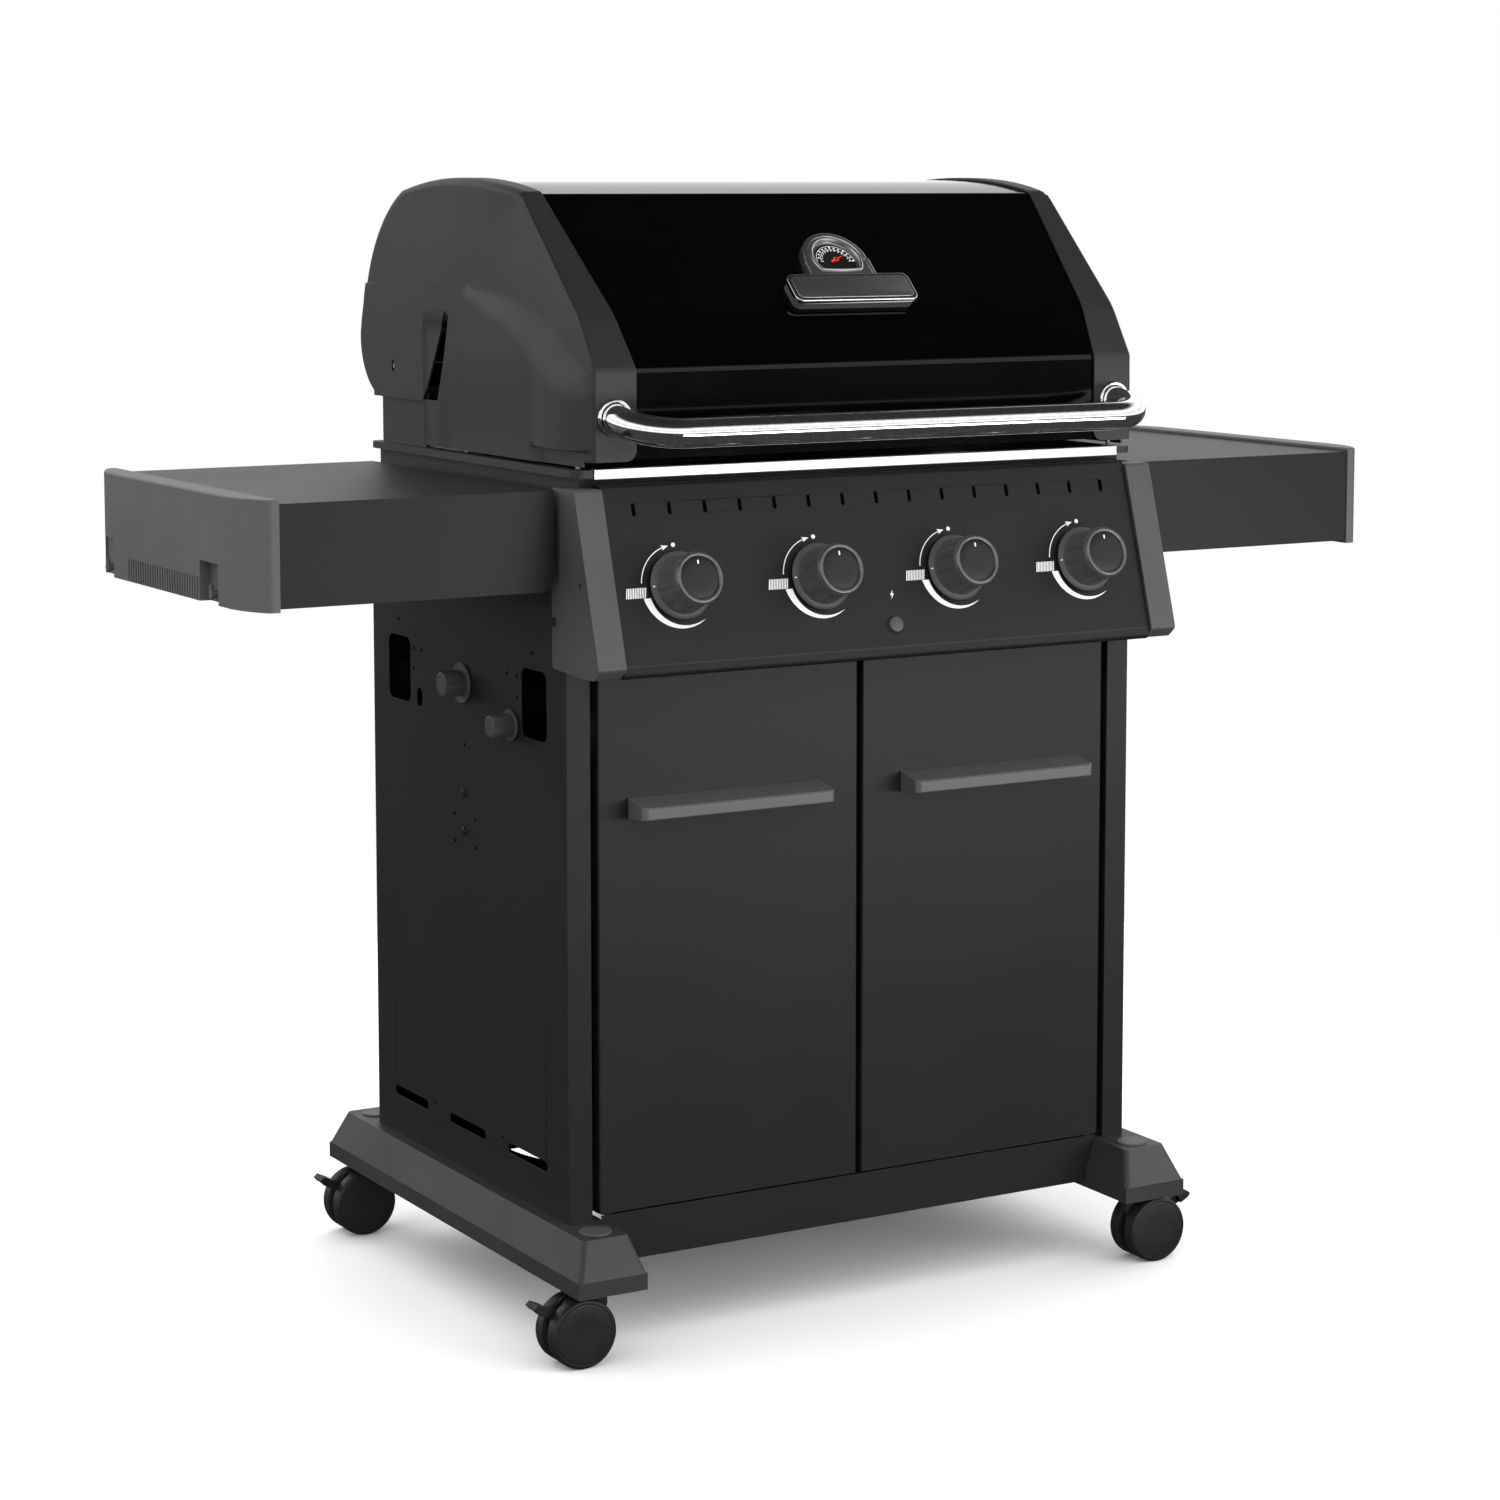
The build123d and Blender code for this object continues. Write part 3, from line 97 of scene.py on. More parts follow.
def surface(name, colour, rough, metallic=0.0, grain=(900.0, 0.15), blotch=(9.0, 0.25),
            rough_spread=0.08, stretch=(1, 1, 1), wear=None, specular=0.5, speck=0.1):
    """A material with grain bump, broad colour and gloss variation, and worn edges if wear is a colour.

    grain is the bump's scale and strength, and blotch the broad variation's scale and share.
    """
    made = bpy.data.materials.new(name)
    made.use_nodes = True
    tree = made.node_tree
    shader = tree.nodes["Principled BSDF"]
    shader.inputs["Metallic"].default_value = metallic
    shader.inputs["Specular IOR Level"].default_value = specular
    place = node(tree, "ShaderNodeTexCoord")
    mapping = node(tree, "ShaderNodeMapping")
    mapping.inputs["Scale"].default_value = stretch
    tree.links.new(place.outputs["Object"], mapping.inputs["Vector"])
    vector = mapping.outputs["Vector"]
    fine = noise_of(tree, vector, grain[0], 3.0, 0.6)
    broad = noise_of(tree, place.outputs["Object"], blotch[0], 4.0, 0.55)
    # colour: broad blotches and a little of the grain
    tone = scale_range(tree, broad, 0.3, 0.7, 1.0 - blotch[1], 1.0 + blotch[1])
    dots = scale_range(tree, fine, 0.35, 0.65, 1.0 - speck, 1.0 + speck)
    both = node(tree, "ShaderNodeMath", operation="MULTIPLY")
    tree.links.new(tone, both.inputs[0])
    tree.links.new(dots, both.inputs[1])
    tint = node(tree, "ShaderNodeVectorMath", operation="SCALE")
    tint.inputs[0].default_value = colour
    tree.links.new(both.outputs[0], tint.inputs["Scale"])
    shade = tint.outputs["Vector"]
    if wear:
        edge = node(tree, "ShaderNodeBevel", samples=4)
        edge.inputs["Radius"].default_value = WEAR_RADIUS
        true_normal = node(tree, "ShaderNodeNewGeometry")
        dot = node(tree, "ShaderNodeVectorMath", operation="DOT_PRODUCT")
        tree.links.new(edge.outputs["Normal"], dot.inputs[0])
        tree.links.new(true_normal.outputs["Normal"], dot.inputs[1])
        amount = scale_range(tree, dot.outputs["Value"], 0.75, 0.99, 1.0, 0.0)
        rubbed = scale_range(tree, broad, 0.35, 0.65, 0.35, 1.0)
        share = node(tree, "ShaderNodeMath", operation="MULTIPLY")
        tree.links.new(amount, share.inputs[0])
        tree.links.new(rubbed, share.inputs[1])
        mix = node(tree, "ShaderNodeMix", data_type="RGBA")
        tree.links.new(share.outputs[0], mix.inputs["Factor"])
        tree.links.new(shade, mix.inputs[MIX_A])
        mix.inputs[MIX_B].default_value = (*wear, 1.0)
        shade = mix.outputs[MIXED]
    tree.links.new(shade, shader.inputs["Base Color"])
    gloss = scale_range(tree, broad, 0.3, 0.7, rough - rough_spread, rough + rough_spread)
    tree.links.new(gloss, shader.inputs["Roughness"])
    bump = node(tree, "ShaderNodeBump", i_Strength=grain[1], i_Distance=BUMP_DISTANCE)
    tree.links.new(fine, bump.inputs["Height"])
    tree.links.new(bump.outputs["Normal"], shader.inputs["Normal"])
    return made


POWDER = surface("powder_coat", (0.0105, 0.0105, 0.0107), 0.45, grain=(1400, 0.3), blotch=(5, 0.07),
                 wear=(0.03, 0.03, 0.03), specular=0.25, rough_spread=0.015)
CAST = surface("cast_paint", (0.012, 0.012, 0.0122), 0.5, grain=(1100, 0.3), blotch=(8, 0.1),
               wear=(0.05, 0.05, 0.05), specular=0.55, rough_spread=0.03)
ENAMEL = surface("gloss_enamel", (0.0003, 0.0003, 0.00035), 0.09, grain=(60, 0.02), rough_spread=0.02,
                 specular=0.3)
MOULDED = surface("moulded_plastic", (0.064, 0.064, 0.0645), 0.48, grain=(1500, 0.2), blotch=(8, 0.1),
                  wear=(0.09, 0.09, 0.09), specular=0.45)
TRIM = surface("trim_plastic", (0.092, 0.092, 0.0925), 0.48, grain=(1500, 0.2), blotch=(8, 0.08),
               wear=(0.13, 0.13, 0.13), specular=0.45, rough_spread=0.03)
BASE = surface("base_plastic", (0.028, 0.028, 0.0283), 0.48, grain=(1500, 0.2), blotch=(8, 0.1),
               wear=(0.07, 0.07, 0.07), specular=0.4)
CHROME = surface("chrome", (0.86, 0.86, 0.87), 0.06, metallic=1.0, grain=(150, 0.01), blotch=(20, 0.02),
                 rough_spread=0.015)
BRUSHED = surface("brushed_steel", (0.5, 0.5, 0.51), 0.3, metallic=1.0, grain=(500, 0.02),
                  blotch=(6, 0.03), stretch=(0.02, 1, 1), rough_spread=0.02, speck=0.03)
STAINLESS = surface("stainless", (0.45, 0.45, 0.45), 0.32, metallic=1.0, grain=(300, 0.05), blotch=(9, 0.05),
                    rough_spread=0.03)
IRON = surface("cast_iron", (0.02, 0.02, 0.02), 0.62, grain=(700, 0.6), wear=(0.06, 0.055, 0.05))
BRASS = surface("brass", (0.6, 0.42, 0.16), 0.3, metallic=1.0, grain=(400, 0.1), blotch=(30, 0.15))
NYLON = surface("nylon", (0.012, 0.012, 0.0122), 0.48, grain=(900, 0.2), blotch=(10, 0.15),
                wear=(0.035, 0.035, 0.035), specular=0.35)
RED = surface("pointer_paint", (0.7, 0.02, 0.015), 0.35, grain=(800, 0.05), blotch=(40, 0.08))
DIAL = surface("dial_paint", (0.004, 0.004, 0.004), 0.4, grain=(900, 0.05), blotch=(40, 0.1))
PRINT = surface("print_ink", (0.92, 0.92, 0.92), 0.5, grain=(900, 0.05), blotch=(40, 0.06))
SATIN = surface("satin_ring", (0.13, 0.13, 0.133), 0.3, metallic=0.8, grain=(600, 0.06), blotch=(30, 0.08))

SLOT_LOOKS = {
    "powder_coat_black": POWDER, "cast_aluminium_black": CAST, "enamel_black": ENAMEL,
    "moulded_black": MOULDED, "chrome": CHROME, "brushed_trim": BRUSHED, "stainless": STAINLESS,
    "cast_iron": IRON, "brass": BRASS, "dial_black": DIAL, "pointer_red": RED, "caster_plastic": NYLON,
}
for entry in frame["record"]["subparts"]:
    shown = NODES[entry["node"]]
    shown.data.materials.clear()
    shown.data.materials.append(SLOT_LOOKS[entry["material_slot"]])
# some moulded parts differ in tone from their slot's look
NODES["base_beams"].data.materials[0] = BASE
NODES["panel_brackets"].data.materials[0] = MOULDED
for name in ("door_handle_left", "door_handle_right", "shelf_cap_left", "shelf_cap_right"):
    NODES[name].data.materials[0] = TRIM

WELD_DISTANCE = 0.00002


def soften(name, width, segments=2, limit=35):
    """Round the sharp edges of a CAD node by a width in millimetres."""
    weld = NODES[name].modifiers.new("weld", "WELD")
    weld.merge_threshold = WELD_DISTANCE
    bevel = NODES[name].modifiers.new("bevel", "BEVEL")
    bevel.width = width * MM
    bevel.segments = segments
    bevel.limit_method = "ANGLE"
    bevel.angle_limit = math.radians(limit)
    bevel.miter_outer = "MITER_ARC"
    weigh = NODES[name].modifiers.new("weigh", "WEIGHTED_NORMAL")
    weigh.keep_sharp = True


for name in ("side_panel_left", "side_panel_right", "frame_rails", "control_panel", "rear_panel"):
    soften(name, 0.45)
for name in ("door_left", "door_right", "shelf_left", "shelf_right"):
    soften(name, 0.5)
for name in ("firebox", "trim_strip"):
    soften(name, 1.0)
soften("panel_brackets", 1.2)
soften("base_beams", 1.6, 3, 20)
for name in ("door_handle_left", "door_handle_right"):
    soften(name, 1.4, 3)
for name in ("shelf_cap_left", "shelf_cap_right"):
    soften(name, 1.0, 3, 50)
for depth in ("front", "rear"):
    for side_name in SIDES:
        soften(f"caster_body_{depth}_{side_name}", 0.8)
        soften(f"caster_brake_{depth}_{side_name}", 1.0, 3)


# ------------------------------------------------------------------ mesh helpers
class Plot:
    """A plane in drawing millimetres: origin, across, up and outward directions."""

    def __init__(self, origin, across, up):
        self.origin = Vector(origin)
        self.across = Vector(across).normalized()
        self.up = Vector(up).normalized()
        self.out = self.across.cross(self.up)

    def point(self, u, v, w=0.0):
        """The frame point at u across, v up and w outwards."""
        return at(*(self.origin + u * self.across + v * self.up + w * self.out))

    def moved(self, u, v, w=0.0):
        """The same plane with its origin at another of its points."""
        shifted = self.origin + u * self.across + v * self.up + w * self.out
        return Plot(shifted, self.across, self.up)


class Shape:
    """Vertices in the frame's metres and faces, gathered for one mesh."""

    def __init__(self):
        self.points = []
        self.faces = []

    def rings(self, rings, closed=True, capped=(False, False)):
        """Join equal rings of points by quads; cap either end with one face."""
        first = len(self.points)
        count = len(rings[0])
        for ring in rings:
            self.points.extend(ring)
        last = count if closed else count - 1
        for row in range(len(rings) - 1):
            low = first + row * count
            for index in range(last):
                follow = (index + 1) % count
                self.faces.append((low + index, low + follow, low + count + follow, low + count + index))
        if capped[0]:
            self.faces.append(tuple(range(first + count - 1, first - 1, -1)))
        if capped[1]:
            top = first + (len(rings) - 1) * count
            self.faces.append(tuple(range(top, top + count)))

    def lathe(self, plot, profile, count=72, ripple=None):
        """Turn (radius, height) pairs round a plot's outward axis; ripple(angle, height) adds to a radius.

        A profile that ends where it starts makes a hoop, and any other is capped.
        """
        rings = []
        for radius, height in profile:
            ring = []
            for index in range(count):
                angle = 2 * math.pi * index / count
                extra = ripple(angle, height) if ripple and radius > 0 else 0.0
                reach = radius + extra
                ring.append(plot.point(reach * math.cos(angle), reach * math.sin(angle), height))
            rings.append(ring)
        is_open = profile[0] != profile[-1]
        self.rings(rings, capped=(is_open and profile[0][0] > 0, is_open and profile[-1][0] > 0))

    def slab(self, plot, outline, low, high, edge=0.0, steps=3):
        """A plate with the given outline between two heights, its upper edge rounded."""
        rings = [[plot.point(u, v, low) for u, v in outline]]
        rings.append([plot.point(u, v, high - edge) for u, v in outline])
        for step in range(1, steps + 1 if edge else 1):
            angle = math.pi / 2 * step / steps
            inner = inset(outline, edge * (1 - math.cos(angle)))
            rings.append([plot.point(u, v, high - edge * (1 - math.sin(angle))) for u, v in inner])
        self.rings(rings, capped=(True, True))


def inset(outline, amount):
    """A closed outline, given anticlockwise, moved inwards along its corner bisectors."""
    moved = []
    for index, point in enumerate(outline):
        before = Vector(point) - Vector(outline[index - 1])
        after = Vector(outline[(index + 1) % len(outline)]) - Vector(point)
        left = Vector((-before.y, before.x)).normalized()
        right = Vector((-after.y, after.x)).normalized()
        middle = (left + right).normalized()
        reach = amount / max(0.35, middle.dot(left))
        moved.append((point[0] + middle.x * reach, point[1] + middle.y * reach))
    return moved


def arc_points(centre, radius, start, end, count):
    """Points along an arc, angles in degrees."""
    made = []
    for index in range(count + 1):
        angle = math.radians(start + (end - start) * index / count)
        made.append((centre[0] + radius * math.cos(angle), centre[1] + radius * math.sin(angle)))
    return made


def rounded_box(half_u, half_v, radius, count=6, centre=(0, 0)):
    """An anticlockwise rectangle with round corners."""
    made = []
    for turn, (su, sv) in enumerate(((1, 1), (-1, 1), (-1, -1), (1, -1))):
        corner = (centre[0] + su * (half_u - radius), centre[1] + sv * (half_v - radius))
        made.extend(arc_points(corner, radius, 90 * turn, 90 * turn + 90, count))
    return made


def build(name, shape, body, look, replaces=(), smooth=32):
    """Turn a gathered shape into a piece that rides on a body."""
    mesh = bpy.data.meshes.new(name)
    mesh.from_pydata(shape.points, [], shape.faces)
    work = bmesh.new()
    work.from_mesh(mesh)
    bmesh.ops.remove_doubles(work, verts=work.verts, dist=1e-6)
    bmesh.ops.recalc_face_normals(work, faces=work.faces)
    work.to_mesh(mesh)
    work.free()
    mesh.shade_smooth()
    mesh.set_sharp_from_angle(angle=math.radians(smooth))
    made = bpy.data.objects.new(name, mesh)
    mesh.materials.append(look)
    bpy.context.collection.objects.link(made)
    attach(made, body)
    if replaces:
        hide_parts(*replaces)
    return made


# ------------------------------------------------------------------ lid end castings
BEND = (-28.0, 1063.0)
KNEE = (7.0, 1119.0)
BROW = (142.0, 1249.0)
HOOD_TOP = (288.0, 1264.0)
SHOULDER = (440.0, 1251.0)
REAR = (550.0, 1090.0)
TAIL = (512.0, 1014.0)
CAP_HALF = 352.0
CREASE_X = 346.0
BOSS_BOTTOM = 966.0
PLATEAU = 354.5               # X of the flat raised area round the hinge
PILLAR = 359.5                # X of the pillar's crest
PILLAR_FOOT = 976.0
WALL = 2.4
HINGE = (458.0, 1047.0)
EAR_GAP = (344.0, 349.8)      # X on either side of a firebox ear
EAR_SWEEP = 96.0              # radius that a firebox ear needs round the hinge
CHEEK_BOTTOM = 960.0
TAIL_BOTTOM = 1010.0
BOSS_BACK = -8.0              # Y where the handle's boss ends and the cheek's bottom edge drops
CHEEK_BACK = (376.0, 378.0)   # Y where the bottom edge rises to the tail
POINT_GAP = 4.5               # longest step along the outline


def circle_arc(first, middle, last, count):
    """Points on the circle through three points, from the first to the last."""
    ax, ay = first
    bx, by = middle
    cx, cy = last
    d = 2 * (ax * (by - cy) + bx * (cy - ay) + cx * (ay - by))
    ux = ((ax**2 + ay**2) * (by - cy) + (bx**2 + by**2) * (cy - ay) + (cx**2 + cy**2) * (ay - by)) / d
    uy = ((ax**2 + ay**2) * (cx - bx) + (bx**2 + by**2) * (ax - cx) + (cx**2 + cy**2) * (bx - ax)) / d
    radius = math.hypot(ax - ux, ay - uy)
    start = math.atan2(ay - uy, ax - ux)
    end = math.atan2(cy - uy, cx - ux)
    if end > start:
        end -= 2 * math.pi
    made = []
    for index in range(count + 1):
        angle = start + (end - start) * index / count
        made.append((ux + radius * math.cos(angle), uy + radius * math.sin(angle)))
    return made


def blended(points, index, radius, steps=6):
    """The points that round one corner of a polyline."""
    corner = Vector(points[index])
    back = (Vector(points[index - 1]) - corner).normalized()
    ahead = (Vector(points[index + 1]) - corner).normalized()
    turn = math.pi - back.angle(ahead)
    reach = radius * math.tan(turn / 2)
    centre = corner + (back + ahead).normalized() * radius / math.cos(turn / 2)
    start = corner + back * reach - centre
    end = corner + ahead * reach - centre
    made = []
    for step in range(steps + 1):
        spoke = start.lerp(end, step / steps).normalized()
        made.append(tuple(centre + spoke * radius))
    return made


def lid_outline():
    """The hood's outline from the front bend over the top to the rearmost point, and the tail below it."""
    roof = circle_arc(BROW, HOOD_TOP, SHOULDER, 14)
    rear = circle_arc(SHOULDER, (521, 1183), REAR, 22)
    tail = circle_arc(REAR, (543, 1045), TAIL, 14)
    path = [(BEND[0], BOSS_BOTTOM), BEND, KNEE, *roof, *rear[1:]]
    corners = {1: (14, 5), 2: (100, 8), 3: (12, 6), 3 + 14: (24, 6)}
    made = []
    for index, point in enumerate(path):
        if index in corners:
            radius, steps = corners[index]
            made.extend(blended(path, index, radius, steps))
        elif index:
            made.append(point)
    return made, tail


def spread(points, gap):
    """Add points so that no step of a polyline is longer than the gap."""
    made = [points[0]]
    for point in points[1:]:
        start = Vector(made[-1])
        step = Vector(point) - start
        parts = math.ceil(step.length / gap - 0.001)
        for part in range(1, parts + 1):
            made.append(tuple(start + step * part / parts))
    return made


def between(value, pairs):
    """Piecewise linear lookup in (key, value) pairs with rising keys."""
    if value <= pairs[0][0]:
        return pairs[0][1]
    for (low, a), (high, b) in zip(pairs, pairs[1:]):
        if value <= high:
            return a + (b - a) * (value - low) / (high - low)
    return pairs[-1][1]


def ease(value):
    """Smooth step of a value held between 0 and 1."""
    held = min(1.0, max(0.0, value))
    return held * held * (3 - 2 * held)


def away(point, path):
    """Distance from a point to a polyline."""
    best = 1e9
    px, py = point
    for (ax, ay), (bx, by) in zip(path, path[1:]):
        dx, dy = bx - ax, by - ay
        share = ((px - ax) * dx + (py - ay) * dy) / (dx * dx + dy * dy)
        share = min(1.0, max(0.0, share))
        best = min(best, math.hypot(px - ax - share * dx, py - ay - share * dy))
    return best


SHOULDER_LINE = ((-28, 1052), (-24, 1056), (14, 1078), (57, 1108), (107, 1126), (170, 1139), (271, 1141))
BLEND_DEPTH = ((-28, 26), (20, 50), (57, 68), (85, 62), (141, 45), (199, 28), (250, 10), (271, 1.6))


def roundover(distance, radius):
    """How far a rounded edge has dropped at a distance from the edge."""
    if distance >= radius:
        return 0.0
    return radius - math.sqrt(max(0.0, radius**2 - (radius - distance)**2))


def cheek_x(y, z, front, rest):
    """Half width of the casting's outer side at a point of its outline plane."""
    fold = away((y, z), front)
    # above the shoulder the cheek narrows to the outline, and below it stands the raised area
    upper = CAP_HALF - 6 * max(0.0, 1 - fold / 90) ** 2
    lower = PLATEAU + 3.0 * ease((300 - y) / 200)
    if y < 345:
        lower -= 3.0 * ease((1075 - z) / 110) * ease((345 - y) / 30) * ease((y - 60) / 50)
    # a hollow that runs into the triangular slot, then the pillar's crest and foot
    dent_from = 300 - (1105 - z) * 0.2
    if dent_from < y < 378:
        lower -= 2.0 * min(1.0, (y - dent_from) / 34) * ease((1112 - z) / 20) * ease((378 - y) / 8)
    lower += (PILLAR - PLATEAU - 3.0) * ease((110 - y) / 45)
    lower -= (PILLAR - CREASE_X) * max(0.0, 1 - fold / 72) ** 2
    if z < PILLAR_FOOT + 0.75 and y < 110:
        foot = CAP_HALF - 2 - 4 * max(0.0, 1 - fold / 22) ** 2
        lower += (foot - lower) * ease((110 - y) / 36)
    top = between(y, SHOULDER_LINE)
    depth = between(y, BLEND_DEPTH)
    share = ease((top + 0.8 - z) / depth)
    made = upper + (lower - upper) * share
    # the rear edge is sharper near the hinge, so that it clears the firebox ear
    near_hinge = ease((EAR_SWEEP + 14 - math.hypot(y - HINGE[0], z - HINGE[1])) / 14)
    return made - max(roundover(fold, 2.0), roundover(away((y, z), rest), 9.0 - 6.5 * near_hinge))


def end_casting(side):
    """The sculpted end of the lid: cheek, pillar, shoulder ledge, hinge pad and the band round its edge."""
    top, tail = lid_outline()
    top = spread(top, POINT_GAP)
    tail = spread(tail, POINT_GAP)
    front = [(BEND[0], BOSS_BOTTOM)]
    front += [point for point in top if point[1] < BROW[1] - 3 and point[0] < 150]
    rest = [point for point in top if point[0] > 138] + tail[1:]
    # each column of points stands at one Y, from the bottom edge to the outline's top
    columns = [(BEND[0], BOSS_BOTTOM, top[0][1])]
    for y, z_top in top:
        if y <= BEND[0] + 0.01:
            continue
        if y < BOSS_BACK:
            low = BOSS_BOTTOM
        elif y <= CHEEK_BACK[0]:
            low = CHEEK_BOTTOM
        elif y <= TAIL[0]:
            low = TAIL_BOTTOM
        else:
            low = between(y, sorted(tail))
        columns.append((y, low, z_top))
    for y, low in (
        (BOSS_BACK - 0.01, BOSS_BOTTOM), (BOSS_BACK + 0.01, CHEEK_BOTTOM), (CHEEK_BACK[0], CHEEK_BOTTOM),
        (CHEEK_BACK[1], TAIL_BOTTOM), (TAIL[0], TAIL_BOTTOM),
    ):
        columns.append((y, low, between(y, sorted(top))))
    columns.sort()
    shape = Shape()
    rings = []
    for y, low, high in columns:
        shoulder = min(between(y, SHOULDER_LINE), high - 6) if y > 271 else between(y, SHOULDER_LINE)
        shoulder = max(shoulder, low + 0.35 * (high - low))
        foot = PILLAR_FOOT if low < 970 else low + 0.08 * (high - low)
        ends = min(9.0, (high - shoulder) / 2)
        # closest together at the foot, the shoulder ledge and the top, where the surface turns
        heights = [low + (foot - low) * (1 - math.cos(math.pi / 2 * k / 6)) for k in range(6)]
        heights += [foot, foot + 1.5]
        heights += [foot + 1.5 + (shoulder - 0.8 - foot - 1.5) * k / 26 for k in range(1, 27)]
        heights += [shoulder + 0.8]
        heights += [shoulder + 0.8 + (high - ends - shoulder - 0.8) * k / 18 for k in range(1, 19)]
        heights += [high - ends * math.cos(math.pi / 2 * k / 7) for k in range(1, 8)]
        column = []
        for z in heights:
            column.append((side * cheek_x(y, z, front, rest), y, z))
        rings.append(column)
    shape.rings([[at(*point) for point in column] for column in rings], closed=False)
    # the band that wraps round the outline, from the cheek's edge to the seam with the hood
    edge = rings[0][:-1]
    edge += [column[-1] for column in rings]
    edge += [column[0] for column in reversed(rings) if column[0][1] > 512.5][1:]
    rows = [[], [], [], [], []]
    for x, y, z in edge:
        seam = 296 + 25 * min(1.0, max(0.0, (z - BEND[1]) / (BROW[1] - BEND[1])))
        if z < BOSS_BOTTOM + 12 and y < -20:
            seam += 12 - math.sqrt(144 - (BOSS_BOTTOM + 12 - z) ** 2)
        outer = min(abs(x) - 0.5, EAR_GAP[1])
        middle = min(outer - 0.5, EAR_GAP[0])
        for row, reach in zip(rows, (abs(x), outer, middle, (middle + seam) / 2, seam)):
            row.append(at(side * reach, y, z))
    # the firebox ear swings through a gap in the tail of the band
    gap = 0
    while math.hypot(edge[gap][1] - HINGE[0], edge[gap][2] - HINGE[1]) > EAR_SWEEP:
        gap += 1
    shape.rings(rows[:2], closed=False)
    shape.rings([row[:gap] for row in rows[1:3]], closed=False)
    shape.rings(rows[2:], closed=False)
    return shape


def bake(target):
    """Apply a piece's modifiers."""
    bpy.context.view_layer.update()
    seen = target.evaluated_get(bpy.context.evaluated_depsgraph_get())
    target.data = bpy.data.meshes.new_from_object(seen)
    target.modifiers.clear()


def cut(target, shape):
    """Take a closed shape out of a piece's mesh."""
    mesh = bpy.data.meshes.new("cutter")
    mesh.from_pydata(shape.points, [], shape.faces)
    work = bmesh.new()
    work.from_mesh(mesh)
    bmesh.ops.recalc_face_normals(work, faces=work.faces)
    work.to_mesh(mesh)
    work.free()
    cutter = bpy.data.objects.new("cutter", mesh)
    bpy.context.collection.objects.link(cutter)
    modifier = target.modifiers.new("cut", "BOOLEAN")
    modifier.object = cutter
    modifier.solver = "EXACT"
    bake(target)
    bpy.data.objects.remove(cutter)


CUT_FROM = 330                # X where the cutters start, inside the casting
CUT_LENGTH = 60
SLOT_CORNERS = ((378, 1012), (323, 1108), (319, 1114), (312, 1115), (308, 1110), (343, 1012))
HINGE_HOLE = (3.3, 7, 3.2)    # half width, half height and corner radius
for side_name, side in SIDES.items():
    casting = build(
        f"end_casting_{side_name}", end_casting(side), "lid", CAST,
        (f"lid_end_cap_{side_name}",),
    )
    shell = casting.modifiers.new("shell", "SOLIDIFY")
    shell.thickness = WALL * MM
    shell.offset = -1.0
    shell.use_even_offset = False
    bake(casting)
    outward = Plot((side * CUT_FROM, 0, 0), (0, side, 0), (0, 0, 1))
    slot_cut = Shape()
    corners = [(side * y, z) for y, z in SLOT_CORNERS]
    if side < 0:
        corners.reverse()
    slot_cut.slab(outward, corners, 0, CUT_LENGTH)
    cut(casting, slot_cut)
    hole_cut = Shape()
    hole_cut.slab(outward, rounded_box(*HINGE_HOLE, centre=(side * HINGE[0], HINGE[1])), 0, CUT_LENGTH)
    cut(casting, hole_cut)
    casting.data.shade_smooth()
    casting.data.set_sharp_from_angle(angle=math.radians(38))

# a plain plate between the firebox ears, put in as painted shade: it closes the view through the slots so
# that they look dark
SHADE_PLATE_CENTRE = (0, 424, 991)
SHADE_PLATE_HALF = (343, 33)
shade_plate = Shape()
shade_plate.slab(Plot(SHADE_PLATE_CENTRE, (1, 0, 0), (0, 0, 1)), rounded_box(*SHADE_PLATE_HALF, 4), 0, 1.5, 0.4)
build("rear_shade_plate", shade_plate, "cabinet", CAST)

# ------------------------------------------------------------------ handle
HANDLE_X = 322.5
HANDLE_Z = 1012.5
HANDLE_REACH = 69.8
HANDLE_BEND = 50.0
HANDLE_R = 15.9
DROP = math.radians(11.1)     # the handle's slope down to the front
TUBE_SIDES = 40
BEZEL_PROFILE = (
    (16.6, 0.0), (20.3, 0.0), (20.3, 2.2), (19.6, 3.5), (18.6, 4.0), (17.4, 3.8), (16.6, 3.0), (16.6, 0.0),
)
handle_plot = Plot((0, BEND[0], HANDLE_Z), (1, 0, 0), (0, -math.cos(DROP), -math.sin(DROP)))
path = [(-HANDLE_X, 0.0)]
path += arc_points((-HANDLE_X + HANDLE_BEND, HANDLE_REACH - HANDLE_BEND), HANDLE_BEND, 180, 90, 20)
path += [(x, HANDLE_REACH) for x in range(-250, 251, 25)]
path += arc_points((HANDLE_X - HANDLE_BEND, HANDLE_REACH - HANDLE_BEND), HANDLE_BEND, 90, 0, 20)
path += [(HANDLE_X, 0.0)]
tube = Shape()
rings = []
for index, (u, v) in enumerate(path):
    before = Vector(path[max(0, index - 1)])
    after = Vector(path[min(len(path) - 1, index + 1)])
    along = (after - before).normalized()
    ring = []
    for step in range(TUBE_SIDES):
        angle = 2 * math.pi * step / TUBE_SIDES
        reach = HANDLE_R * math.cos(angle)
        rise = HANDLE_R * math.sin(angle)
        ring.append(handle_plot.point(u - along.y * reach, v + along.x * reach, rise))
    rings.append(ring)
tube.rings(rings, capped=(True, True))
build("handle_tube", tube, "lid", CHROME, ("lid_handle",))

collars = Shape()
for side in SIDES.values():
    seat = Plot((side * HANDLE_X, BEND[0], HANDLE_Z), (1, 0, 0), (0, 0, 1))
    collars.lathe(seat, BEZEL_PROFILE, 64)
build("handle_collars", collars, "lid", CHROME, ("handle_bezels",))

